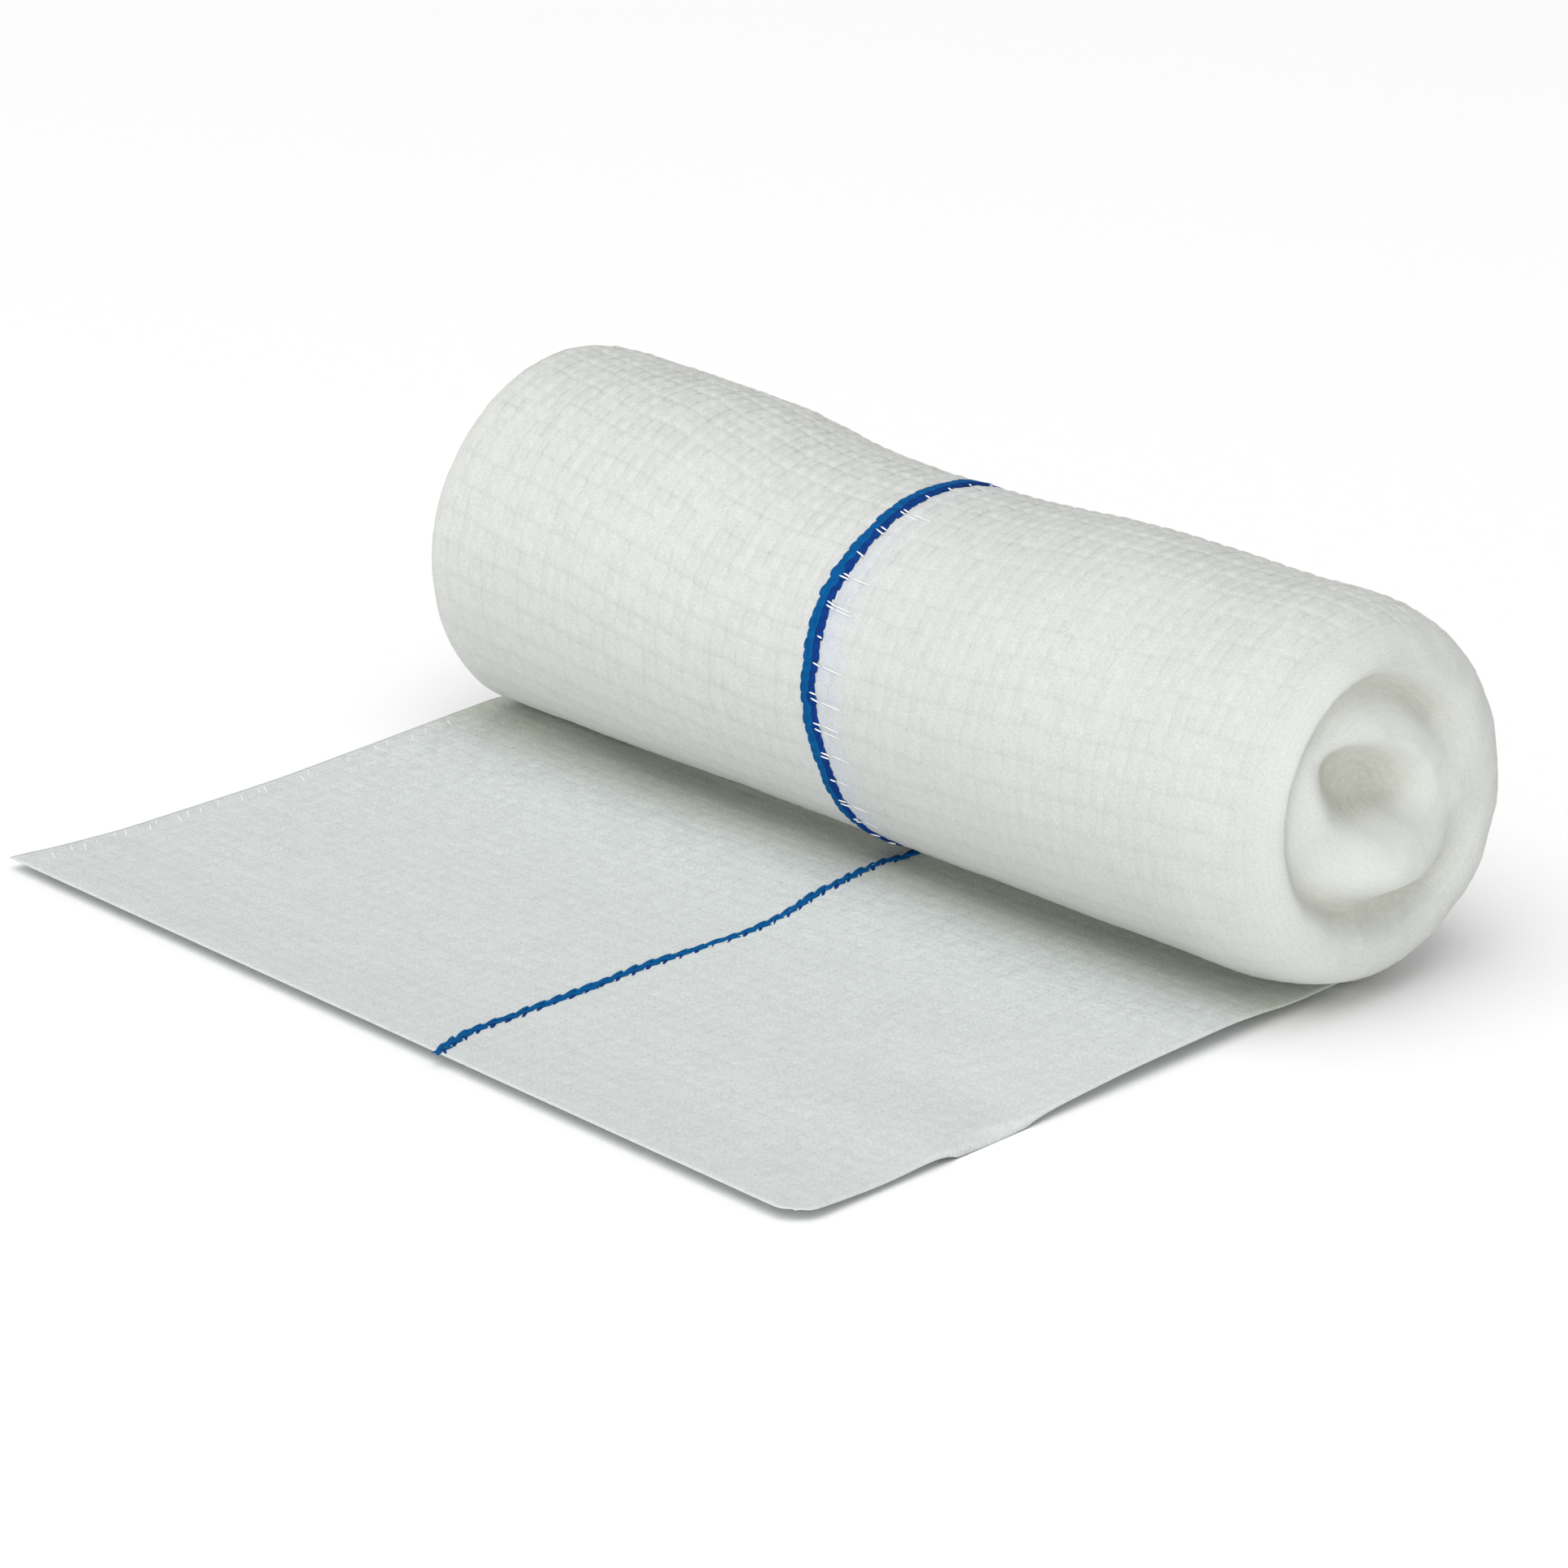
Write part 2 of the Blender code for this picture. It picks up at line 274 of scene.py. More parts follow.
FLAT_MIDDLE_SHARE = 0.4

# The near edge is pinched down in one place, by a short crease
CREASE_CENTRE = -33.2
CREASE_HALF_LENGTH = 2.6
CREASE_WIDTH = 0.95
CREASE_DEPTH = 0.6
LEAST_CREASE_WIDTH = 0.01      # so that it can be divided by

# The cloth thins towards its free edges, where it frays
THIN_EDGE = 0.15               # share of its thickness at the edge
THIN_EDGE_WIDTH = 2.2
CORNER_FLARE = 0.4             # the far corner is drawn out by this much
JOINED_RISE = 0.35             # the cloth follows the roll's underside up to this height
JOINED_FROM = Fade(-5.0, 3.5)
SKIN_STEPS_BACK = 0.9          # the roll's skin thins to nothing over this way before the join
CREASE_END = 3.0               # the crease's depth fades where it is narrower than a third of a mm
LOOSE_PLAY = 0.25              # share of the rows' tilt that shows between the marker and an edge
LOOSE_WEFT_WANDER = Lumps(0.25, 5.0, 11)
LOOSE_RIB_WANDER = Lumps(0.18, 4.0, 12)
LOOSE_SIDES_STRAIGHT = 2.0     # the ribs come straight over this distance from either side
LOOSE_LUMPS = (Lumps(0.05, 7.0, 13), Lumps(0.03, 2.5, 14))
LOOSE_KNIT_SHARE = 0.25        # of the relief on the roll, because the cloth is stretched flat
LOOSE_STITCH_SHARE = 1.3
CORNER_SIZE = 0.9
FLARE_SIZE = 3.0
LEAST_RISE = 0.02              # no place of the cloth's top lies lower over its own thickness
# Where the loose cloth's knit is more open: in the nip and along the far edge
NIP_OPENNESS = 0.8
NIP_OPEN_AT = -12.0
FAR_EDGE_OPENNESS = 0.5
LOOSE_OPEN_WIDTH = 6.0
NIP_SHADE = Fade(-12.5, 5.5)    # painted shade darkens the cloth into the nip

# ---------------------------------------------------------------------------------------------
# The marker thread, mm
# ---------------------------------------------------------------------------------------------
MarkerTurn = namedtuple("MarkerTurn", "angle x")
MARKER_ON_ROLL = (
    MarkerTurn(-84.0, 1.9),
    MarkerTurn(-60.0, 1.6),
    MarkerTurn(-30.0, 0.9),
    MarkerTurn(0.0, 0.2),
    MarkerTurn(30.0, -0.2),
    MarkerTurn(60.0, -0.42),
    MarkerTurn(72.7, -0.45),
    MarkerTurn(88.8, -0.18),
    MarkerTurn(102.6, -0.31),
    MarkerTurn(125.0, -0.43),
    MarkerTurn(143.6, -0.71),
    MarkerTurn(160.4, -0.53),
    MarkerTurn(179.3, -0.15),
    MarkerTurn(196.9, 0.52),
    MarkerTurn(213.2, 0.53),
    MarkerTurn(240.0, 0.70),
    MarkerTurn(256.0, 1.10),
)
# The lavender band on its right, where it shines through from the turns below, and a faint one
# on its left
SHINE_STARTS = Fade(0.1, 0.7)
SHINE_ENDS = Fade(0.9, 3.2)
SHINE_SHARE = 0.9
SHINE_FRONT_STARTS = Fade(105.0, 45.0)       # degrees round the roll
SHINE_FRONT_ENDS = Fade(225.0, 20.0)
SHINE_BEHIND = 0.35            # its strength behind and under the roll
LEFT_SHINE = 0.9
LEFT_SHINE_WIDTH = 0.5
LEFT_SHINE_SHARE = 0.25

# The legs of its stitches. Lengths across are mm, overlap is a share of the stitch.
Leg = namedtuple("Leg", "aside width height rise overlap lean material")
# Material 0 is the blue painted as lit, material 1 the blue painted as shaded
ROLL_LEGS = (
    Leg(-0.40, 0.62, 0.24, 0.02, 1.5, -0.30, 0),
    Leg(-0.05, 0.66, 0.26, 0.03, 1.5, -0.12, 0),
    Leg(0.24, 0.56, 0.26, 0.02, 1.7, 0.12, 1),
    Leg(0.44, 0.40, 0.20, 0.00, 1.4, 0.30, 1),
)
MARKER_SINK = -0.05            # behind the roll's crest the marker lies deeper in the cloth
MARKER_RISES = Fade(45.0, 45.0)              # and comes up out of it over these degrees
MARKER_FOOT = 0.12             # under the roll the marker lies pressed on the surface
LOOSE_LEGS = (
    Leg(-0.11, 0.36, 0.20, 0.04, 1.55, -0.28, 0),
    Leg(0.06, 0.34, 0.22, 0.05, 1.35, 0.30, 0),
    Leg(0.22, 0.24, 0.15, 0.01, 0.80, -0.60, 1),
)
MarkerRun = namedtuple("MarkerRun", "y x")
MARKER_ON_LOOSE_END = (
    MarkerRun(-47.8, 4.45),
    MarkerRun(-45.5, 3.60),
    MarkerRun(-43.0, 3.14),
    MarkerRun(-34.6, 3.10),
    MarkerRun(-30.0, 3.00),
    MarkerRun(-25.4, 3.30),
    MarkerRun(-20.9, 3.60),
    MarkerRun(-17.4, 3.35),
    MarkerRun(-15.0, 2.85),
    MarkerRun(-12.0, 2.50),
    MarkerRun(-8.8, 2.00),
    MarkerRun(-6.4, 1.60),
    MarkerRun(-3.4, 1.70),
)
# Shares by which the legs of the stitches differ from each other
ROLL_LEG_UNEVENNESS = 0.28
LOOSE_LEG_UNEVENNESS = 0.35
LEG_SHIFT = 0.4                # a leg shifts aside by this share of its width at the most

# White wefts cross the marker on its right. They come in pairs and run on beside it.
CROSSINGS_FROM = 60.0          # angle from which they show
CROSSINGS_CLOSE_FROM = 100.0   # and from which more of them do
CROSSINGS_START = 5.0          # degrees past the marker's start
CROSSINGS_END = 8.0            # degrees before the marker's end
CROSSING_LIMIT, CROSSING_CLOSE_LIMIT = -0.4, 0.6    # one shows where its draw isn't over this
CROSSING_PAIR = 0.15           # each of a pair lies this far from their middle
CROSSING_JITTER = 0.09
CROSSING_FRONT = Fade(85.0, 40.0)            # down the front they are longer and stand higher
CROSSING_LENGTH, CROSSING_FRONT_LENGTH = 0.34, 0.30
CROSSING_LENGTH_PLAY = 0.35    # share by which the lengths differ
CROSSING_RISE, CROSSING_FRONT_RISE = 0.06, 0.08
CROSSING_ASIDE = 0.62          # right of the marker's middle
CROSSING_ASIDE_PLAY = 0.10
CROSSING_SLANT, CROSSING_SLANT_PLAY = 0.14, 0.1
CROSSING_DIP = 0.12            # slope by which its right end dips into the cloth
CROSSING_YARN = (0.115, 0.1)   # width and height
RUN_ON_ASIDE = 1.3
RUN_ON_AHEAD = 0.12
RUN_ON_LENGTH = 1.2
RUN_ON_SLANT = 0.08
RUN_ON_YARN = (0.08, 0.05)

# Slanting weft loops show along the far long edge of the loose end
LOOPS_START = 0.8              # from the cut edge
LOOPS_END = -12.0
LOOPS_SPREAD_FROM = -28.0      # beyond here the loops stand further apart, by the next share
LOOPS_SPREAD = 1.8
LOOP_SPACING = (0.5, 1.9)
LOOP_LENGTH = (0.7, 1.7)
LOOP_SLANT = (0.45, 0.75)
LOOP_SHIFT = (0.0, 0.5)
LOOP_EDGE = 0.15               # the loops keep this far from the edge
LOOP_MIDDLE = (0.42, 0.3)      # shares of its length and slant from a loop's end to its middle
LOOP_YARN = (0.08, 0.06)


# ---------------------------------------------------------------------------------------------
# Settings
# ---------------------------------------------------------------------------------------------
def linear_colour(code):
    """Turn an sRGB hex colour to the linear values that the shader takes."""
    channels = [int(code[place:place + 2], 16) / 255 for place in (0, 2, 4)]
    linear = [part / 12.92 if part <= 0.04045 else ((part + 0.055) / 1.055) ** 2.4
              for part in channels]
    return (*linear, 1.0)


class ClothSettings(bpy.types.PropertyGroup):
    """Sizes and colours of the knitted gauze."""

    rib_pitch: FloatProperty(
        name="Rib pitch", description="Distance between the ribs that run round the roll",
        default=1.22 * MM, unit="LENGTH",
    )
    weft_pitch: FloatProperty(
        name="Weft pitch", description="Distance between the wefts that run along the roll",
        default=2.14 * MM, unit="LENGTH",
    )
    rib_depth: FloatProperty(
        name="Rib depth", description="Depth of the groove between two ribs",
        default=0.06 * MM, unit="LENGTH",
    )
    weft_depth: FloatProperty(
        name="Weft depth", description="Depth of the line that a weft draws across the ribs",
        default=0.04 * MM, unit="LENGTH",
    )
    weft_rise: FloatProperty(
        name="Weft rise", description="Height of the yarn just before that line",
        default=0.055 * MM, unit="LENGTH",
    )
    layer: FloatProperty(
        name="Layer", description="Thickness of one layer of the gauze",
        default=0.4 * MM, unit="LENGTH",
    )
    wound_colour: FloatVectorProperty(
        name="Wound gauze", description="Colour of the gauze many layers deep",
        default=linear_colour("C9CBC7"), size=4, subtype="COLOR", min=0, max=1,
    )
    loose_colour: FloatVectorProperty(
        name="Loose gauze", description="Colour of one layer on the surface",
        default=linear_colour("CACFCE"), size=4, subtype="COLOR", min=0, max=1,
    )


class MarkerSettings(bpy.types.PropertyGroup):
    """Sizes and colours of the marker thread."""

    roll_stitch: FloatProperty(
        name="Stitch on the roll", description="Length of one stitch of the marker on the roll",
        default=0.71 * MM, unit="LENGTH",
    )
    loose_stitch: FloatProperty(
        name="Stitch on the loose end",
        description="Length of one stitch of the marker on the loose end",
        default=1.3 * MM, unit="LENGTH",
    )
    # Painted light and shade: the far legs' blue is painted lighter, as if lit, the near legs'
    # darker
    lit_leg_colour: FloatVectorProperty(
        name="Bright blue", description="Colour of the marker's far legs",
        default=linear_colour("065189"), size=4, subtype="COLOR", min=0, max=1,
    )
    shaded_leg_colour: FloatVectorProperty(
        name="Deep blue", description="Colour of the marker's near legs",
        default=linear_colour("0D3474"), size=4, subtype="COLOR", min=0, max=1,
    )


class StageSettings(bpy.types.PropertyGroup):
    """The studio round the roll."""

    camera_azimuth: FloatProperty(
        name="Camera azimuth", description="Angle of the camera round the roll",
        default=math.radians(45.868), subtype="ANGLE",
    )
    camera_elevation: FloatProperty(
        name="Camera elevation", description="Height angle of the camera",
        default=math.radians(21.331), subtype="ANGLE",
    )
    camera_distance: FloatProperty(
        name="Camera distance", description="Distance of the camera from its target plane",
        default=341.061 * MM, unit="LENGTH",
    )
    key_power: FloatProperty(
        name="Key power", description="Power of the main soft light in watts", default=25.5,
    )
    fill_power: FloatProperty(
        name="Fill power", description="Power of the low soft light from the front in watts",
        default=18.5,
    )
    room_light: FloatProperty(
        name="Room light", description="Strength of the even light from all round", default=0.55,
    )
    floor_colour: FloatVectorProperty(
        name="Floor", description="Colour of the floor",
        default=linear_colour("FDFDFD"), size=4, subtype="COLOR", min=0, max=1,
    )


# ---------------------------------------------------------------------------------------------
# Shape functions. They work on whole arrays of places at once.
# ---------------------------------------------------------------------------------------------
def smooth_value(rows, column, at):
    """Read one column of a table at any places, on a smooth curve through its rows."""
    places = np.array([row[0] for row in rows])
    values = np.array([getattr(row, column) for row in rows])
    slopes = np.gradient(values, places, edge_order=1)
    slopes[1:-1] = (values[2:] - values[:-2]) / (places[2:] - places[:-2])
    at = np.clip(at, places[0], places[-1])
    start = np.clip(np.searchsorted(places, at, side="right") - 1, 0, len(places) - 2)
    span = places[start + 1] - places[start]
    part = (at - places[start]) / span
    from_start = (1 + 2 * part) * (1 - part) ** 2 * values[start]
    from_end = part * part * (3 - 2 * part) * values[start + 1]
    leaving = part * (1 - part) ** 2 * span * slopes[start]
    arriving = part * part * (part - 1) * span * slopes[start + 1]
    return from_start + from_end + leaving + arriving


def ease(value):
    """Go from 0 to 1 smoothly, and stay at either end."""
    value = np.clip(value, 0.0, 1.0)
    return value * value * (3 - 2 * value)


def bell(distance, width):
    return np.exp(-((distance / width) ** 2))


def fade_in(value, fade):
    """Go from 0 to 1 smoothly over a fade."""
    return ease((value - fade.start) / fade.length)


def uneven(places, *lumps):
    """Soft unevenness at places, about as high as its lumps say, either way."""
    height = 0.0
    for most, size, draw in lumps:
        offset = Vector([step * draw for step in NOISE_STEP])
        values = [noise.noise(Vector(place) / size + offset) for place in places]
        height = height + most * np.array(values)
    return height


def girth(x):
    return smooth_value(GIRTHS, "radius", x)


def axis_height(x):
    """Height of the roll's axis, which follows its girth because the roll lies on its side."""
    return girth(x) - SAG


def turn_inset(angle, layer):
    """How far the roll's skin has wound in since the loose end went under it."""
    turn = ((angle - START_ANGLE) % 360.0) / 360.0
    step = ease((1.0 - turn) * 360.0 / TURN_STEP_ANGLE)
    return layer * turn * step


def from_oval(oval, across, up):
    """Distance from an oval's middle, where 1 is its edge."""
    return np.hypot((across - oval.across) / oval.half_width, (up - oval.up) / oval.half_height)


def hollow_relief(across, up):
    """Bulge of the folded cloth end, the half-moon hollow over its lip, and the dent beside it."""
    over_lip = (up - TONGUE_LIP_HEIGHT) / TONGUE_LIP_BLEND
    above = up + HOLLOW_TILT * (across - HOLLOW.across) - HOLLOW.up
    above = np.where(above < 0, HOLLOW_FOOT_SHARE * above, above)
    ring = ease((1 - from_oval(HOLLOW, across, HOLLOW.up + above)) / HOLLOW_ROUNDING)
    hollow = HOLLOW_DEPTH * ring * ease(0.5 + over_lip)
    bulge = TONGUE_RISE * bell(from_oval(TONGUE, across, up), 1.0) * ease(0.5 - over_lip)
    return bulge - hollow - FACE_DENT_DEPTH * bell(from_oval(FACE_DENT, across, up), 1.0)


def near_groove(column, angle):
    """Read the near groove's radius or depth at angles in degrees."""
    angle = np.where(angle > NEAR_GROOVE[-1].angle, angle - 360, angle)
    return smooth_value(NEAR_GROOVE, column, angle)


def groove_relief(radius, angle):
    """Depth of the groove where the outer turns and the inner coil press against each other."""
    aside = radius - NEAR_GROOVE_RING
    width = np.where(aside > 0, GROOVE_OUTER_WIDTH, GROOVE_INNER_WIDTH)
    return near_groove("depth", angle) * bell(aside, width)


def near_shift(radius, angle):
    """How far the near face's rings are drawn out or in, so that one of them follows the groove."""
    rim = girth(ROLL_NEAR_END)
    shift = near_groove("radius", angle) - NEAR_GROOVE_RING
    outside = np.clip((rim - radius) / (rim - NEAR_GROOVE_RING), 0, 1)
    outside = np.where(shift > 0, outside, outside ** RIM_HOLD)
    return shift * np.where(radius > NEAR_GROOVE_RING, outside, radius / NEAR_GROOVE_RING)


def far_relief(radius, angle):
    """How far the far end lies behind its plane."""
    turn = (angle / 360.0) % 1.0
    groove_radius = FAR_GROOVE_RADIUS - FAR_GROOVE_TURN_IN * turn
    fade = ease(FAR_GROOVE_FADE * turn) * ease(FAR_GROOVE_FADE * (1 - turn))
    groove = FAR_GROOVE_DEPTH * fade * bell(radius - groove_radius, FAR_GROOVE_WIDTH)
    return -groove - FAR_DIMPLE_DEPTH * bell(radius, FAR_DIMPLE_RADIUS)


def shoulder_outline(face_x, rim_radius, length, depth, outward, steps):
    """Quarter ellipse from an end face to the roll's side. outward is the face's X direction."""
    turn = np.linspace(0, math.pi / 2, steps + 1)[1:]
    x = face_x - outward * length * (1 - np.cos(turn))
    return x, rim_radius - depth * (1 - np.sin(turn))


def roll_outline(rib_pitch):
    """Half outline of the roll from the far end's middle to the near end's middle.

    Gives each station's x and radius, and its number of ribs from the far shoulder's foot.
    """
    side_start = ROLL_FAR_END + FAR_SHOULDER_LENGTH
    side_end = ROLL_NEAR_END - NEAR_SHOULDER_LENGTH
    far_rim = girth(side_start)
    near_rim = girth(side_end)
    ribs = round((side_end - side_start) / rib_pitch)
    side_x = np.linspace(side_start, side_end, ribs * STEPS_PER_RIB + 1)[1:]

    far_face = np.linspace(0, far_rim - FAR_SHOULDER_DEPTH, FAR_FACE_STEPS + 1)
    near_face = np.linspace(near_rim - NEAR_SHOULDER_DEPTH, 0, NEAR_FACE_STEPS + 1)
    far_x, far_radius = shoulder_outline(
        ROLL_FAR_END, far_rim, FAR_SHOULDER_LENGTH, FAR_SHOULDER_DEPTH, -1, FAR_SHOULDER_STEPS)
    near_x, near_radius = shoulder_outline(
        ROLL_NEAR_END, near_rim, NEAR_SHOULDER_LENGTH, NEAR_SHOULDER_DEPTH, 1, NEAR_SHOULDER_STEPS)

    x = np.concatenate((np.full(len(far_face), ROLL_FAR_END), far_x, side_x,
                        near_x[-2::-1], np.full(len(near_face), ROLL_NEAR_END)))
    radius = np.concatenate((far_face, far_radius, girth(side_x), near_radius[-2::-1], near_face))
    run = np.concatenate(([0.0], np.cumsum(np.hypot(np.diff(x), np.diff(radius)))))
    start = len(far_face) + len(far_x) - 1
    real_pitch = (side_end - side_start) / ribs
    return x, radius, run, (run - run[start]) / real_pitch


def outline_normals(x, radius):
    """Outward direction of each station of the outline, along X and away from the axis."""
    along_x = np.gradient(x)
    along_radius = np.gradient(radius)
    length = np.hypot(along_x, along_radius)
    return -along_radius / length, along_x / length


def knit_relief(ribs, wefts, weft_pitch, cloth):
    """Height of the knit over its mean face. ribs and wefts count the threads up to each place."""
    from_valley = (ribs % 1.0 - 0.5) * cloth.rib_pitch / MM
    from_weft = ((wefts + 0.5) % 1.0 - 0.5) * weft_pitch
    valley = bell(from_valley, VALLEY_WIDTH)
    line = bell(from_weft, WEFT_LINE_WIDTH)
    yarn = bell(from_weft + WEFT_YARN_AHEAD, WEFT_YARN_WIDTH) * (1 - WEFT_YARN_SUNK * valley)
    depth = cloth.rib_depth * valley + cloth.weft_depth * line
    return (cloth.weft_rise * yarn - depth) / MM


def stitch_relief(ribs, wefts):
    """Each stitch stands a little prouder or lower than its neighbours, by a seeded draw."""
    draw = np.random.default_rng(7).uniform(-1, 1, size=STITCH_DRAW)
    rib = np.floor(ribs + 0.5).astype(int) % STITCH_DRAW[0]
    stitch = np.floor(wefts * 2).astype(int) % STITCH_DRAW[1]
    across = 0.5 + 0.5 * np.cos(math.tau * ribs)
    along = 0.5 - 0.5 * np.cos(math.tau * wefts * 2)
    return STITCH_UNEVENNESS * draw[rib, stitch] * across * along


# ---------------------------------------------------------------------------------------------
# Mesh helpers
# ---------------------------------------------------------------------------------------------
def make_grid(columns, rows):
    """A flat grid, and the column and row of each of its points."""
    builder = bmesh.new()
    bmesh.ops.create_grid(builder, x_segments=columns, y_segments=rows, size=0.5)
    shares = np.array([vertex.co[:2] for vertex in builder.verts]) + 0.5
    column = np.rint(shares[:, 0] * columns).astype(int)
    row = np.rint(shares[:, 1] * rows).astype(int)
    return builder, column, row


def place_points(builder, places):
    for vertex, place in zip(builder.verts, places):
        vertex.co = place


def write_maps(builder, maps):
    """Give each face corner its point's values, as UV maps. Corners that later share a point
    keep their own values, so a map runs on where the grid closes on itself."""
    builder.verts.index_update()
    layers = [(builder.loops.layers.uv.new(name), values) for name, values in maps.items()]
    for face in builder.faces:
        for corner in face.loops:
            point = corner.vert.index
            for layer, values in layers:
                corner[layer].uv = values[point]


def write_floats(builder, floats):
    """Keep numbers with each point, for its material to read."""
    for name, values in floats.items():
        layer = builder.verts.layers.float.new(name)
        for vertex, value in zip(builder.verts, values):
            vertex[layer] = value


def make_piece(name, builder, materials, replaced=None):
    """Turn a bmesh into a piece of the object, which rides on its one body."""
    mesh = bpy.data.meshes.new(name)
    builder.to_mesh(mesh)
    builder.free()
    for material in materials:
        mesh.materials.append(material)
    mesh.shade_smooth()
    piece = bpy.data.objects.new(name, mesh)
    bpy.context.scene.collection.objects.link(piece)
    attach(piece, BODY)
    if replaced:
        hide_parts(replaced)
    return piece


# ---------------------------------------------------------------------------------------------
# Materials
# ---------------------------------------------------------------------------------------------
def add_node(material, kind, sockets=None, output=0, **settings):
    """Add a node with its settings, set or link its sockets, and give one of its outputs."""
    tree = material.node_tree
    node = tree.nodes.new("ShaderNode" + kind)
    for name, value in settings.items():
        setattr(node, name, value)
    for socket, value in (sockets or {}).items():
        if isinstance(value, bpy.types.NodeSocket):
            tree.links.new(value, node.inputs[socket])
        else:
            node.inputs[socket].default_value = value
    return node.outputs[output]


def new_material(name, roughness):
    """Start a material with its shader, whose sockets the caller fills."""
    material = bpy.data.materials.new(name)
    material.use_nodes = True
    shader = material.node_tree.nodes["Principled BSDF"]
    shader.inputs["Roughness"].default_value = roughness
    return material, shader


# How strongly each part of the knit darkens or lightens the cloth, as shares of its colour
KnitLook = namedtuple("KnitLook", "valley leg line course slant stitch grain")
WOUND_LOOK = KnitLook(
    valley=0.024, leg=0.014, line=0.044, course=0.020, slant=0.010, stitch=0.032, grain=0.13)
LOOSE_LOOK = KnitLook(
    valley=0.012, leg=0.008, line=0.014, course=0.01, slant=0.008, stitch=0.022, grain=0.13)
TURN_EDGE_SHADE = 0.02         # the lines between the turns on an end face are darker by this share
# The end faces' fluffy edges are whiter by this share, and so is the near coil's painted light
FLUFF_AND_PAINTED_LIGHT = 0.13
# How high the knit's light and the fibres' specks stand in the bump, against the fine fibres
KNIT_BUMP = 3.0
SPECK_BUMP = 1.3


def thread_lines(material, knit_map, direction, per_thread, phase, start):
    """Thin lines along the ribs or the wefts: one where each line is darkest, zero beside it."""
    wave = add_node(material, "TexWave", {
        "Vector": knit_map, "Scale": per_thread * math.tau / 20, "Phase Offset": phase,
    }, bands_direction=direction, output="Fac")
    return add_node(material, "MapRange", {
        "Value": wave, "From Min": start, "From Max": 1.0,
    }, interpolation_type="SMOOTHSTEP")


def knit_light(material, cloth_map, look):
    """Light and shade of the knit as a share of its colour, around zero.

    The knit map counts ribs and wefts. The valleys between ribs and the lines of the wefts are
    darker. The two legs of a rib's stitches part in a finer line, and each stitch slants.
    """
    knit_map = add_node(material, "UVMap", uv_map="knit")
    openness = add_node(material, "Attribute", attribute_name="open", output="Fac")
    valley = thread_lines(material, knit_map, "Y", 1, 0.0, 0.6)
    leg = thread_lines(material, knit_map, "Y", 2, math.pi, 0.5)
    line = thread_lines(material, knit_map, "X", 1, math.pi, 0.86)
    course = thread_lines(material, knit_map, "X", 2, math.pi, 0.7)
    # Stitches: two to a weft on each rib, slanting, some fuller than others
    stitch_count = add_node(material, "VectorMath", {
        0: knit_map, 1: (2.0, 2.0, 1.0)}, operation="MULTIPLY")
    stitch_place = add_node(material, "VectorMath", {0: stitch_count}, operation="FLOOR")
    fullness = add_node(material, "TexWhiteNoise", {"Vector": stitch_place}, noise_dimensions="2D")

    # Beside a full stitch the lines along the rib nearly close
    rib_lines = add_node(material, "Math", {0: leg, 1: look.leg}, operation="MULTIPLY")
    rib_lines = add_node(material, "Math", {
        0: valley, 1: look.valley, 2: rib_lines}, operation="MULTIPLY_ADD")
    stitch_share = add_node(material, "MapRange", {"Value": fullness, "To Min": 1.9, "To Max": 0.1})
    rib_lines = add_node(material, "Math", {0: rib_lines, 1: stitch_share}, operation="MULTIPLY")
    open_course = add_node(material, "MapRange", {
        "Value": openness, "From Min": 0.85, "From Max": 1.4})
    courses = add_node(material, "Math", {0: course, 1: open_course}, operation="MULTIPLY")
    grooves = add_node(material, "Math", {
        0: courses, 1: look.course, 2: rib_lines}, operation="MULTIPLY_ADD")
    grooves = add_node(material, "Math", {
        0: line, 1: look.line, 2: grooves}, operation="MULTIPLY_ADD")
    # The lines fade and come back over patches of a few stitches
    patches = add_node(material, "TexNoise", {
        "Vector": cloth_map, "Scale": 1 / (1.8 * MM), "Detail": 4.0, "Roughness": 0.7,
    })
    patch_share = add_node(material, "MapRange", {
        "Value": patches, "From Min": 0.35, "From Max": 0.65, "To Min": 0.1, "To Max": 1.7,
    })
    grooves = add_node(material, "Math", {0: grooves, 1: patch_share}, operation="MULTIPLY")
    slant = add_node(material, "VectorMath", {
        0: knit_map, 1: (2 * math.tau, -math.tau, 0.0)}, operation="DOT_PRODUCT", output="Value")
    slant = add_node(material, "Math", {0: slant}, operation="SINE")
    stitch = add_node(material, "MapRange", {
        "Value": fullness, "To Min": -look.stitch, "To Max": look.stitch})
    stitch = add_node(material, "Math", {
        0: slant, 1: look.slant, 2: stitch}, operation="MULTIPLY_ADD")
    knit = add_node(material, "Math", {0: stitch, 1: grooves}, operation="SUBTRACT")
    # The painted light and shade grows with the knit's openness
    return add_node(material, "Math", {0: knit, 1: openness}, operation="MULTIPLY")


def marker_shine_through(material, cloth_map, colour):
    """Lavender band beside the marker, where the marker of the turns below shines through."""
    band = add_node(material, "Attribute", attribute_name="shine", output="Fac")
    # Drawn out along the marker, so that the patches make broken lines beside it
    drawn_out = add_node(material, "Mapping", {"Vector": cloth_map, "Scale": (0.3, 1.0, 1.0)})
    broken_lines = add_node(material, "TexNoise", {
        "Vector": drawn_out, "Scale": 1 / (0.4 * MM), "Detail": 2.0, "Roughness": 0.6,
    })
    lines = add_node(material, "MapRange", {
        "Value": broken_lines, "From Min": 0.38, "From Max": 0.62, "To Min": 0.2, "To Max": 1.0,
    })
    amount = add_node(material, "Math", {0: band, 1: lines}, operation="MULTIPLY")
    return add_node(material, "Mix", {
        "Factor": amount, 6: colour, 7: linear_colour("BFC5D3")}, data_type="RGBA", output=2)


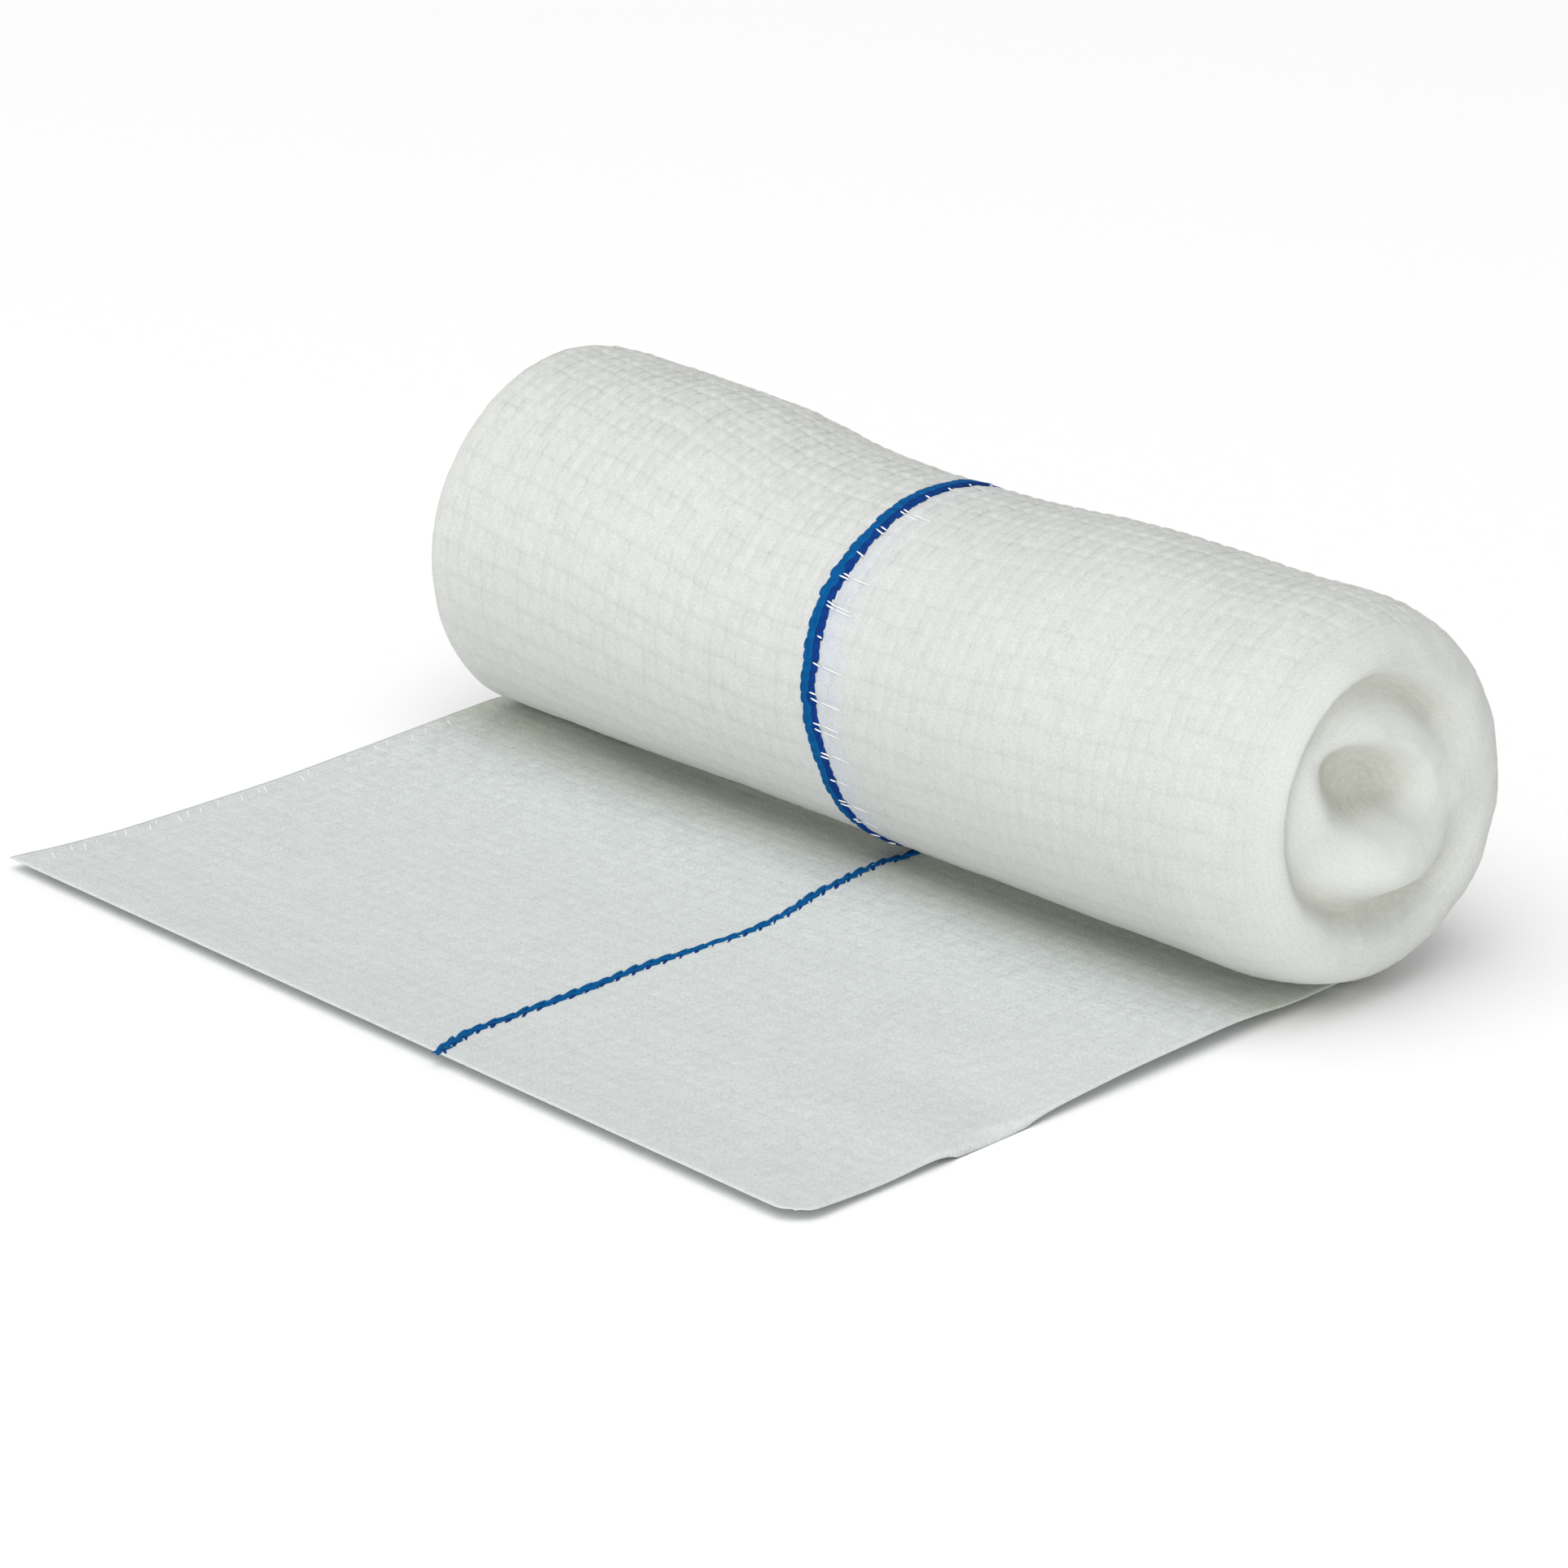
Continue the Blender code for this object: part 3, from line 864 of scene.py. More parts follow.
def turn_edges(material, rim):
    """Fine matted lines of the turns' edges on an end face."""
    turns_map = add_node(material, "UVMap", uv_map="turns")
    lines = add_node(material, "TexWave", {
        "Vector": turns_map, "Scale": math.tau / 20, "Distortion": 2.4, "Detail": 3.0,
        "Detail Scale": 3.0,
    }, bands_direction="Y", output="Fac")
    return add_node(material, "Math", {0: lines, 1: rim}, operation="MULTIPLY")


def painted_fold_shade(material, cloth_map, colour, fold_shade_colour):
    """Painted shade: darker yellowish streaks in the nip and the near end's groove and hollow."""
    fold_shade = add_node(material, "Attribute", attribute_name="fold_shade", output="Fac")
    drawn_out = add_node(material, "Mapping", {"Vector": cloth_map, "Scale": (0.12, 1.0, 1.0)})
    streaks = add_node(material, "TexNoise", {
        "Vector": drawn_out, "Scale": 1 / (0.3 * MM), "Detail": 3.0, "Roughness": 0.65,
    })
    amount = add_node(material, "MapRange", {
        "Value": streaks, "From Min": 0.35, "From Max": 0.65, "To Min": 0.5, "To Max": 1.0,
    })
    amount = add_node(material, "Math", {0: fold_shade, 1: amount}, operation="MULTIPLY")
    return add_node(material, "Mix", {
        "Factor": amount, 6: colour, 7: fold_shade_colour}, data_type="RGBA", output=2)


def knitted_gauze(name, colour, look, wound):
    """Absorbent cotton gauze, knitted in ribs with wefts laid across, bleached and unglazed.

    The eye sees a dull, slightly hairy white, mottled stitch by stitch. The grooves between ribs
    and the thin lines of the wefts are a little darker.
    """
    material, shader = new_material(name, 0.92)
    cloth_map = add_node(material, "UVMap", uv_map="cloth")
    light = knit_light(material, cloth_map, look)
    if wound:
        rim = add_node(material, "Attribute", attribute_name="rim", output="Fac")
        side = add_node(material, "Math", {0: 1.0, 1: rim}, operation="SUBTRACT")
        light = add_node(material, "Math", {0: light, 1: side}, operation="MULTIPLY")
        edges = turn_edges(material, rim)
        light = add_node(material, "Math", {
            0: edges, 1: -TURN_EDGE_SHADE, 2: light}, operation="MULTIPLY_ADD")
        # The end faces show the cloth's fluffy edges, which are a little whiter than its face.
        # Painted light whitens the near end's coil inside the groove more, above its foot.
        fluff_and_light = add_node(material, "Attribute", attribute_name="fluff_and_light", output="Fac")
        light = add_node(material, "Math", {
            0: fluff_and_light, 1: FLUFF_AND_PAINTED_LIGHT, 2: light}, operation="MULTIPLY_ADD")
        colour = marker_shine_through(material, cloth_map, colour)
        # Painted shade in the near end's groove and hollow
        colour = painted_fold_shade(material, cloth_map, colour, linear_colour("B5B7AA"))
    else:
        # Painted shade into the nip
        colour = painted_fold_shade(material, cloth_map, colour, linear_colour("B7BBAC"))

    # Fibres mat into specks and tufts. They are finer than this, and drawn as coarse as they
    # show. On the loose end they lie askew.
    lie = add_node(material, "Mapping", {
        "Vector": cloth_map, "Rotation": (0, 0, math.radians(-45)),
        "Scale": (1.0 if wound else 2.2, 1.0, 1.0)}, vector_type="TEXTURE")
    grains = add_node(material, "TexNoise", {
        "Vector": lie, "Scale": 1 / (0.2 * MM), "Detail": 4.0, "Roughness": 0.75,
    })
    grain_light = add_node(material, "MapRange", {
        "Value": grains, "From Min": 0.25, "From Max": 0.75,
        "To Min": 1.0 - look.grain, "To Max": 1.0 + look.grain,
    })
    light = add_node(material, "Math", {0: light, 1: grain_light}, operation="ADD")
    lit = add_node(material, "Mix", {
        "Factor": 1.0, 6: colour, 7: light}, data_type="RGBA", blend_type="MULTIPLY", output=2)
    material.node_tree.links.new(lit, shader.inputs["Base Color"])

    fibres = add_node(material, "TexNoise", {
        "Vector": lie, "Scale": 1 / (0.14 * MM), "Detail": 4.0, "Roughness": 0.7,
    })
    fine = add_node(material, "Math", {
        0: grains, 1: SPECK_BUMP, 2: fibres}, operation="MULTIPLY_ADD")
    height = add_node(material, "Math", {0: light, 1: KNIT_BUMP, 2: fine}, operation="MULTIPLY_ADD")
    bump = add_node(material, "Bump", {"Strength": 0.6, "Distance": 0.05 * MM, "Height": height})
    material.node_tree.links.new(bump, shader.inputs["Normal"])

    # Light goes a little way into the fibres, and the hairy face catches it at an angle
    shader.inputs["Subsurface Weight"].default_value = 0.12
    shader.inputs["Subsurface Radius"].default_value = (1.0, 1.0, 0.9)
    shader.inputs["Subsurface Scale"].default_value = 0.6 * MM
    shader.inputs["Sheen Weight"].default_value = 0.15
    shader.inputs["Sheen Roughness"].default_value = 0.5
    return material


def dyed_cotton(name, colour):
    """Vat-dyed cotton yarn of two plies. The eye sees a soft blue with fine slanting ply lines."""
    material, shader = new_material(name, 0.75)
    yarn_map = add_node(material, "UVMap", uv_map="yarn")
    turned = add_node(material, "Mapping", {"Vector": yarn_map, "Scale": (3.0, 4.0, 1.0)})
    ply_lines = add_node(material, "TexWave", {
        "Vector": turned, "Scale": math.tau / 20, "Distortion": 0.6, "Detail": 2.0,
    }, bands_direction="DIAGONAL", output="Fac")
    place = add_node(material, "TexCoord", output="Object")
    patches = add_node(material, "TexNoise", {
        "Vector": place, "Scale": 1 / (0.7 * MM), "Detail": 2.0})
    light = add_node(material, "Math", {
        0: ply_lines, 1: 0.35, 2: patches}, operation="MULTIPLY_ADD")
    lit = add_node(material, "MapRange", {
        "Value": light, "From Min": 0.3, "From Max": 1.0, "To Min": 0.8, "To Max": 1.15,
    })
    dyed = add_node(material, "Mix", {
        "Factor": 1.0, 6: colour, 7: lit}, data_type="RGBA", blend_type="MULTIPLY", output=2)
    material.node_tree.links.new(dyed, shader.inputs["Base Color"])
    bump = add_node(material, "Bump", {"Strength": 0.4, "Distance": 0.02 * MM, "Height": ply_lines})
    material.node_tree.links.new(bump, shader.inputs["Normal"])
    shader.inputs["Specular IOR Level"].default_value = 0.05
    return material


def bleached_yarn(name):
    """Bleached cotton yarn. The eye sees bright white threads, hardly shaded by their roundness."""
    material, shader = new_material(name, 0.7)
    place = add_node(material, "TexCoord", output="Object")
    patches = add_node(material, "TexNoise", {
        "Vector": place, "Scale": 1 / (0.4 * MM), "Detail": 1.0})
    white = add_node(material, "Mix", {
        "Factor": patches, 6: linear_colour("E6E8E6"), 7: linear_colour("FAFBFA"),
    }, data_type="RGBA", output=2)
    material.node_tree.links.new(white, shader.inputs["Base Color"])
    shader.inputs["Sheen Weight"].default_value = 0.2
    return material


def painted_board(name, colour):
    """Matt painted board. The eye sees an even white with hardly any tooth."""
    material, shader = new_material(name, 0.85)
    place = add_node(material, "TexCoord", output="Object")
    tooth = add_node(material, "TexNoise", {"Vector": place, "Scale": 1 / (2 * MM), "Detail": 2.0})
    shade = (colour[0] * 0.985, colour[1] * 0.985, colour[2] * 0.985, 1.0)
    painted = add_node(material, "Mix", {
        "Factor": tooth, 6: colour, 7: shade}, data_type="RGBA", output=2)
    material.node_tree.links.new(painted, shader.inputs["Base Color"])
    shader.inputs["Specular IOR Level"].default_value = 0.1
    return material


# ---------------------------------------------------------------------------------------------
# The wound cloth
# ---------------------------------------------------------------------------------------------
def wind_cloth(cloth, material):
    """Wrap one grid round the axis, close it, and give it the winding, the knit and the weight."""
    x, radius, run, ribs = roll_outline(cloth.rib_pitch / MM)
    normal_x, normal_out = outline_normals(x, radius)
    wefts_round = round(math.tau * MEAN_RADIUS * MM / cloth.weft_pitch)
    round_steps = wefts_round * STEPS_PER_WEFT
    builder, column, grid_row = make_grid(len(x) - 1, round_steps)
    row = grid_row % round_steps
    x, radius, run, ribs = x[column], radius[column], run[column], ribs[column]
    normal_x, normal_out = normal_x[column], normal_out[column]
    layer = cloth.layer / MM
    side = 1 - fade_in(np.abs(normal_x), KNIT_ENDS)
    rim = fade_in(np.abs(normal_x), RIM_STARTS)

    # The threads wander, and the wefts bow at the marker. The mesh follows them.
    ring = math.tau * row / round_steps
    on_roll = np.stack((x, MEAN_RADIUS * np.cos(ring), MEAN_RADIUS * np.sin(ring)), axis=1)
    lag = smooth_value(WEFT_BOW, "lag", x) + uneven(on_roll, WEFT_WANDER)
    angle = START_ANGLE + np.degrees(ring + lag / MEAN_RADIUS)
    turned = angle % 360.0
    across, up = np.cos(np.radians(angle)), np.sin(np.radians(angle))
    shifted_x = x + side * uneven(on_roll, RIB_WANDER)
    out = radius + side * (girth(shifted_x) - girth(x))
    out = out - turn_inset(angle, layer) * side
    bulge_share = ease((x - (ROLL_NEAR_END - NEAR_BULGE_LENGTH)) / NEAR_BULGE_LENGTH)
    from_bulge = (angle - NEAR_BULGE_ANGLE + 180) % 360 - 180
    bulge = NEAR_BULGE * bulge_share * bell(from_bulge, NEAR_BULGE_SPREAD)
    out = out * (1 + bulge / girth(x))

    # Relief: the winding's soft lumps, the knit on the side, and matted edges on the end faces
    turns = (girth(x) - radius) / layer - grid_row / round_steps
    wefts = grid_row / STEPS_PER_WEFT
    knit = knit_relief(ribs, row / STEPS_PER_WEFT, cloth.weft_pitch / MM, cloth)
    knit = knit + stitch_relief(ribs, row / STEPS_PER_WEFT)
    openness = smooth_value(KNIT_OPENNESS, "share", turned)
    openness = openness * (FAR_HALF_OPENNESS - OPENNESS_DROP * fade_in(x, OPENNESS_DROP_FROM))
    knit = knit * openness
    lumps = ease(radius / WINDING_CALM) * uneven(on_roll, *WINDING_LUMPS)
    on_face = np.stack((MATTED_DRAW * x, out * across, out * up), axis=1)
    edges = TURN_EDGE_HEIGHT * np.cos(math.tau * turns) * ease(radius / TURN_EDGE_CALM)
    relief = side * knit + lumps + rim * (uneven(on_face, *MATTED_LUMPS) + edges)

    out = out + relief * normal_out
    near_share = end_share(x - ROLL_NEAR_END, NEAR_RELIEF)
    drawn = out + end_share(x - ROLL_NEAR_END, NEAR_DRAW) * near_shift(radius, turned)
    groove = groove_relief(radius, turned)
    near = hollow_relief(across * drawn, up * drawn) - groove
    final_x = shifted_x + relief * normal_x + near_share * near
    final_x = final_x - end_share(ROLL_FAR_END - x, FAR_RELIEF) * far_relief(out, turned)
    height = np.maximum(up * drawn + axis_height(x), 0.0)
    place_points(builder, np.stack((final_x, across * drawn, height), axis=1) * MM)

    write_floats(builder, {
        "rim": rim,
        "shine": marker_shine(final_x, angle),
        # painted shade of the near end's groove and hollow
        "fold_shade": near_fold_shade(near_share, groove, near),
        "open": openness,
        # fluff, with painted light on the near coil
        "fluff_and_light": rim * near_fluff_and_light(near_share, radius, up),
    })
    girth_share = grid_row / round_steps * math.tau * MEAN_RADIUS
    write_maps(builder, {
        "cloth": np.stack((girth_share * MM, run * MM), axis=1),
        "knit": np.stack((wefts, ribs), axis=1),
        "turns": np.stack((grid_row / round_steps, turns), axis=1),
    })
    bmesh.ops.remove_doubles(builder, verts=builder.verts, dist=SAME_POINT * MM)
    bmesh.ops.recalc_face_normals(builder, faces=builder.faces)
    return make_piece("wound_cloth", builder, (material,), "roll")


def end_share(past_end, fade):
    """Share of an end's relief at a distance past the end's plane, which is below 0 inside."""
    return ease((past_end + fade.start) / fade.length)


def near_fold_shade(near_share, groove, relief):
    """How strong the painted shade is in the near end's groove and hollow, from their depth."""
    hollow = np.clip((-relief - groove) / SHADED_HOLLOW_DEPTH, 0, None) ** SHADED_HOLLOW_POWER
    return ease(near_share * np.clip((groove / SHADED_GROOVE_DEPTH) ** 2 + hollow, 0, 1))


def near_fluff_and_light(near_share, radius, up):
    """How fluffy, and so whiter, the end faces are. Painted light adds to it on the near end's coil
    inside its groove and above its foot; the outer turns, wound tight, get only a little."""
    loose = near_share * ease((NEAR_GROOVE_RING - radius) / PAINTED_LIGHT_EDGE + 0.5)
    loose = loose * fade_in(up * radius, PAINTED_LIGHT_RISES)
    return TURNS_FLUFF + (1 - TURNS_FLUFF) * loose


def marker_shine(x, angle):
    """Share of the lavender band at places on the roll. It is strongest down the front."""
    angle = (angle - START_ANGLE) % 360 + START_ANGLE
    right = x - smooth_value(MARKER_ON_ROLL, "x", angle)
    band = fade_in(right, SHINE_STARTS) * (1 - fade_in(right, SHINE_ENDS))
    front = fade_in(angle, SHINE_FRONT_STARTS) * (1 - fade_in(angle, SHINE_FRONT_ENDS))
    front = SHINE_BEHIND + (1 - SHINE_BEHIND) * front
    left_band = bell(right + LEFT_SHINE, LEFT_SHINE_WIDTH)
    return front * (SHINE_SHARE * band + LEFT_SHINE_SHARE * left_band)


def skin_place(angle, x, layer, rise):
    """A place on the roll's side, in metres, raised by some millimetres."""
    out = girth(x) - turn_inset(angle, layer) + rise
    across, up = np.cos(np.radians(angle)), np.sin(np.radians(angle))
    return np.stack((x, out * across, out * up + axis_height(x)), axis=-1) * MM


# ---------------------------------------------------------------------------------------------
# The loose end
# ---------------------------------------------------------------------------------------------
def skin_underside(x, y, layer):
    """Height of the roll's underside over a place of the surface, or far above beside it."""
    into_near = np.clip((x - ROLL_NEAR_END) / NEAR_SHOULDER_LENGTH + 1, 0, 1)
    into_far = np.clip((ROLL_FAR_END - x) / FAR_SHOULDER_LENGTH + 1, 0, 1)
    radius = girth(x) - NEAR_SHOULDER_DEPTH * (1 - np.sqrt(1 - into_near ** 2))
    radius = radius - FAR_SHOULDER_DEPTH * (1 - np.sqrt(1 - into_far ** 2))
    radius = radius - layer * ease(-y / SKIN_STEPS_BACK)
    inside = np.clip(radius ** 2 - y ** 2, 0, None)
    return axis_height(x) - np.sqrt(inside)


def loose_underside(x, y, layer):
    """Height of the loose end's underside over the surface."""
    across_share = (x - FAR_EDGE) / (NEAR_EDGE - FAR_EDGE)
    edge_share = ease((np.abs(2 * across_share - 1) - FLAT_MIDDLE_SHARE) / (1 - FLAT_MIDDLE_SHARE))
    middle = smooth_value(LIFTS, "middle", y)
    far, near = smooth_value(LIFTS, "far", y), smooth_value(LIFTS, "near", y)
    edge = np.where(across_share < 0.5, far, near)
    free = np.maximum(middle + (edge - middle) * edge_share, 0.0)
    under_roll = np.maximum(skin_underside(x, y, layer) - layer, 0.0)
    free = np.minimum(free, np.maximum(under_roll - 2 * LOOSE_RISE, 0.0))
    against_roll = np.minimum(under_roll, JOINED_RISE)
    return free + (against_roll - free) * fade_in(y, JOINED_FROM)


def edge_crease(x, y):
    """How far the near edge is pinched down, in a lens-shaped place."""
    width = CREASE_WIDTH * bell(y - CREASE_CENTRE, CREASE_HALF_LENGTH) + LEAST_CREASE_WIDTH
    across = np.clip(1 - (NEAR_EDGE - x) / width, 0, 1)
    return CREASE_DEPTH * across * np.clip(CREASE_END * width, 0, 1)


def lay_loose_end(cloth, material):
    """Lay one grid on the surface, from the cut edge to where it has joined the roll's skin."""
    layer = cloth.layer / MM
    columns = round((NEAR_EDGE - FAR_EDGE) * MM / cloth.rib_pitch) * STEPS_PER_RIB
    rows = round((UNDER_ROLL_EDGE - FREE_EDGE) / LOOSE_WEFT_PITCH) * LOOSE_STEPS_PER_WEFT
    builder, column, row = make_grid(columns, rows)
    x = FAR_EDGE + (NEAR_EDGE - FAR_EDGE) * column / columns
    y = FREE_EDGE + (UNDER_ROLL_EDGE - FREE_EDGE) * row / rows
    from_cut = y - FREE_EDGE
    corner = bell(NEAR_EDGE - x, CORNER_SIZE) * bell(from_cut, CORNER_SIZE) * CORNER_ROUNDING / 2
    flare = bell(x - FAR_EDGE, FLARE_SIZE) * bell(from_cut, FLARE_SIZE) * CORNER_FLARE

    on_cloth = np.stack((x, y, np.zeros_like(x)), axis=1)
    free_of_ends = ease(from_cut / LOOSE_ROW_TILT_START)
    free_of_ends = free_of_ends * ease((UNDER_ROLL_EDGE - y) / LOOSE_ROW_TILT_START)
    free_of_sides = ease((x - FAR_EDGE) / LOOSE_SIDES_STRAIGHT)
    free_of_sides = free_of_sides * ease((NEAR_EDGE - x) / LOOSE_SIDES_STRAIGHT)
    wander_y = LOOSE_ROW_TILT * LOOSE_PLAY * x + uneven(on_cloth, LOOSE_WEFT_WANDER)
    placed_x = x - corner - flare + free_of_sides * uneven(on_cloth, LOOSE_RIB_WANDER)
    placed_y = y + corner + free_of_ends * wander_y

    ribs = column / STEPS_PER_RIB
    wefts = row / LOOSE_STEPS_PER_WEFT
    knit = LOOSE_KNIT_SHARE * knit_relief(ribs, wefts, LOOSE_WEFT_PITCH, cloth)
    knit = knit + LOOSE_STITCH_SHARE * stitch_relief(ribs, wefts / 2)
    from_edge = np.minimum(np.minimum(x - FAR_EDGE, NEAR_EDGE - x), from_cut)
    fullness = ease(from_edge / THIN_EDGE_WIDTH)
    relief = fullness * (knit + uneven(on_cloth, *LOOSE_LUMPS))
    top = loose_underside(placed_x, placed_y, layer) + layer + LOOSE_RISE + relief
    least = layer * (THIN_EDGE + (1 - THIN_EDGE) * fullness) + LEAST_RISE
    top = np.maximum(top - edge_crease(x, y), least)
    place_points(builder, np.stack((placed_x, placed_y, top), axis=1) * MM)
    openness = 1 + NIP_OPENNESS * bell(y - NIP_OPEN_AT, LOOSE_OPEN_WIDTH)
    openness = openness + FAR_EDGE_OPENNESS * bell(x - FAR_EDGE, LOOSE_OPEN_WIDTH)
    # the painted shade into the nip, and the knit's openness
    write_floats(builder, {"fold_shade": fade_in(y, NIP_SHADE), "open": openness})
    write_maps(builder, {
        "cloth": np.stack((x, y), axis=1) * MM,
        "knit": np.stack((wefts, ribs), axis=1),
    })
    piece = make_piece("loose_cloth", builder, (material,), "loose_end")
    group = piece.vertex_groups.new(name="fullness")
    for point, share in enumerate(fullness):
        group.add([point], float(share), "REPLACE")
    thicken = piece.modifiers.new("layer", "SOLIDIFY")
    thicken.thickness = cloth.layer
    thicken.offset = -1.0
    thicken.thickness_vertex_group = THIN_EDGE
    thicken.vertex_group = group.name
    return piece


# ---------------------------------------------------------------------------------------------
# The marker thread, and the yarn ends beside it
# ---------------------------------------------------------------------------------------------
def marker_points_on_roll(stitch, layer):
    """Even places and outward directions along the marker, from under the roll round to the nip."""
    angle = np.linspace(MARKER_ON_ROLL[0].angle, MARKER_ON_ROLL[-1].angle, 2000)
    x = smooth_value(MARKER_ON_ROLL, "x", angle)
    places = skin_place(angle, x, layer, MARKER_SINK * (1 - fade_in(angle, MARKER_RISES)))
    places[:, 2] = np.maximum(places[:, 2], MARKER_FOOT * MM)
    outward = np.stack((np.zeros_like(angle), np.cos(np.radians(angle)),
                        np.sin(np.radians(angle))), axis=1)
    return even_points(places, outward, stitch)


def marker_points_on_loose_end(stitch, layer):
    y = np.linspace(MARKER_ON_LOOSE_END[0].y, MARKER_ON_LOOSE_END[-1].y, 1000)
    x = smooth_value(MARKER_ON_LOOSE_END, "x", y)
    top = loose_underside(x, y, layer) + layer + LOOSE_RISE
    places = np.stack((x, y, top), axis=1) * MM
    outward = np.stack((np.zeros_like(y), -np.gradient(top, y), np.ones_like(y)), axis=1)
    outward = outward / np.linalg.norm(outward, axis=1, keepdims=True)
    return even_points(places, outward, stitch)


def even_points(places, outward, spacing):
    """Points at even spacing along a path, each with its direction along and its way outward."""
    steps = np.linalg.norm(np.diff(places, axis=0), axis=1)
    run = np.concatenate(([0.0], np.cumsum(steps)))
    stops = np.linspace(0, run[-1], round(run[-1] / spacing) + 1)
    even = np.stack([np.interp(stops, run, places[:, axis]) for axis in range(3)], axis=1)
    facing = np.stack([np.interp(stops, run, outward[:, axis]) for axis in range(3)], axis=1)
    along = np.gradient(even, axis=0)
    return [(Vector(point), Vector(way).normalized(), Vector(face).normalized())
            for point, way, face in zip(even, along, facing)]


def add_strand(builder, centre, along, outward, size, material_index=0):
    """A short stretch of yarn: a smooth bean of some length, width and height on the cloth."""
    length, width, height = (measure * MM for measure in size)
    along = along.normalized()
    aside = along.cross(outward).normalized()
    outward = aside.cross(along).normalized()
    placing = Matrix((aside * width / 2, outward * height / 2, along * length / 2)).transposed()
    placing = placing.to_4x4()
    placing.translation = centre
    strand = bmesh.ops.create_uvsphere(
        builder, u_segments=8, v_segments=6, radius=1.0, matrix=placing, calc_uvs=True)
    for vertex in strand["verts"]:
        for face in vertex.link_faces:
            face.material_index = material_index


def start_yarn():
    """A bmesh for strands, with the map that their materials read."""
    builder = bmesh.new()
    builder.loops.layers.uv.new("yarn")
    return builder


def chain_marker(name, points, legs, stitch, unevenness, materials):
    """Work a row of V-shaped stitches along the points: each has a far leg and a near leg."""
    builder = start_yarn()
    draw = np.random.default_rng(21)
    for point, along, outward in points:
        towards_near = outward.cross(along).normalized()
        if towards_near.x < 0:
            towards_near = -towards_near
        for leg in legs:
            vary, shift, turn = 1 + unevenness * draw.uniform(-1, 1, size=3)
            aside = (leg.aside + LEG_SHIFT * leg.width * (shift - 1)) * MM
            direction = along + towards_near * leg.lean * turn
            centre = point + towards_near * aside + outward * leg.rise * MM
            size = (stitch / MM * leg.overlap, leg.width * vary, leg.height * vary)
            add_strand(builder, centre, direction, outward, size, leg.material)
    return make_piece(name, builder, materials)


def crossing_ends(layer, wefts_round, material):
    """White wefts that cross the marker's near side in pairs, and run on beside it."""
    builder = start_yarn()
    draw = np.random.default_rng(31)
    to_angle = math.degrees(1 / MEAN_RADIUS)
    for weft in range(wefts_round):
        middle = START_ANGLE + 360.0 * weft / wefts_round
        from_start, to_end = middle - MARKER_ON_ROLL[0].angle, MARKER_ON_ROLL[-1].angle - middle
        if from_start <= CROSSINGS_START or to_end <= CROSSINGS_END:
            continue
        for offset in (-CROSSING_PAIR, CROSSING_PAIR):
            vary, shift, reach, drop = draw.uniform(-1, 1, size=4)
            close = middle > CROSSINGS_CLOSE_FROM
            limit = CROSSING_CLOSE_LIMIT if close else CROSSING_LIMIT
            if middle < CROSSINGS_FROM or drop > limit:
                continue
            angle = middle + (offset + CROSSING_JITTER * shift) * to_angle
            marker_x = float(smooth_value(MARKER_ON_ROLL, "x", angle))
            turn = math.radians(angle)
            outward = Vector((0, math.cos(turn), math.sin(turn)))
            onward = Vector((0, -math.sin(turn), math.cos(turn)))
            front = float(fade_in(angle, CROSSING_FRONT))
            length = CROSSING_LENGTH + CROSSING_FRONT_LENGTH * front
            length = length * (1 + CROSSING_LENGTH_PLAY * vary)
            rise = CROSSING_RISE + CROSSING_FRONT_RISE * front
            aside = marker_x + CROSSING_ASIDE + CROSSING_ASIDE_PLAY * reach
            slant = CROSSING_SLANT + CROSSING_SLANT_PLAY * shift
            place = skin_place(angle, aside, layer, rise)
            along = Vector((1, 0, 0)) + onward * slant - outward * CROSSING_DIP
            add_strand(builder, Vector(place), along, outward, (length, *CROSSING_YARN))
            if reach < 0:
                continue
            beside = marker_x + RUN_ON_ASIDE + reach
            place = skin_place(angle + RUN_ON_AHEAD * to_angle, beside, layer, 0.0)
            along = Vector((1, 0, 0)) + onward * RUN_ON_SLANT
            size = (RUN_ON_LENGTH + reach, *RUN_ON_YARN)
            add_strand(builder, Vector(place), along, outward, size)
    return make_piece("marker_crossings", builder, (material,))


def selvedge_loops(cloth, material):
    """Slanting weft loops along the far long edge of the loose end, which is seen from above."""
    builder = start_yarn()
    draw = np.random.default_rng(41)
    layer = cloth.layer / MM
    y = FREE_EDGE + LOOPS_START
    while y < LOOPS_END:
        y += draw.uniform(*LOOP_SPACING) * (1.0 if y < LOOPS_SPREAD_FROM else LOOPS_SPREAD)
        length = draw.uniform(*LOOP_LENGTH)
        slant = draw.uniform(*LOOP_SLANT)
        x = FAR_EDGE + LOOP_EDGE + length * LOOP_MIDDLE[0] + draw.uniform(*LOOP_SHIFT)
        middle_y = y - slant * length * LOOP_MIDDLE[1]
        top = loose_underside(x, middle_y, layer) + layer + LOOSE_RISE
        centre = Vector((x, middle_y, float(top))) * MM
        add_strand(builder, centre, Vector((1, -slant, 0)), Vector((0, 0, 1)), (length, *LOOP_YARN))
    return make_piece("selvedge_loops", builder, (material,))


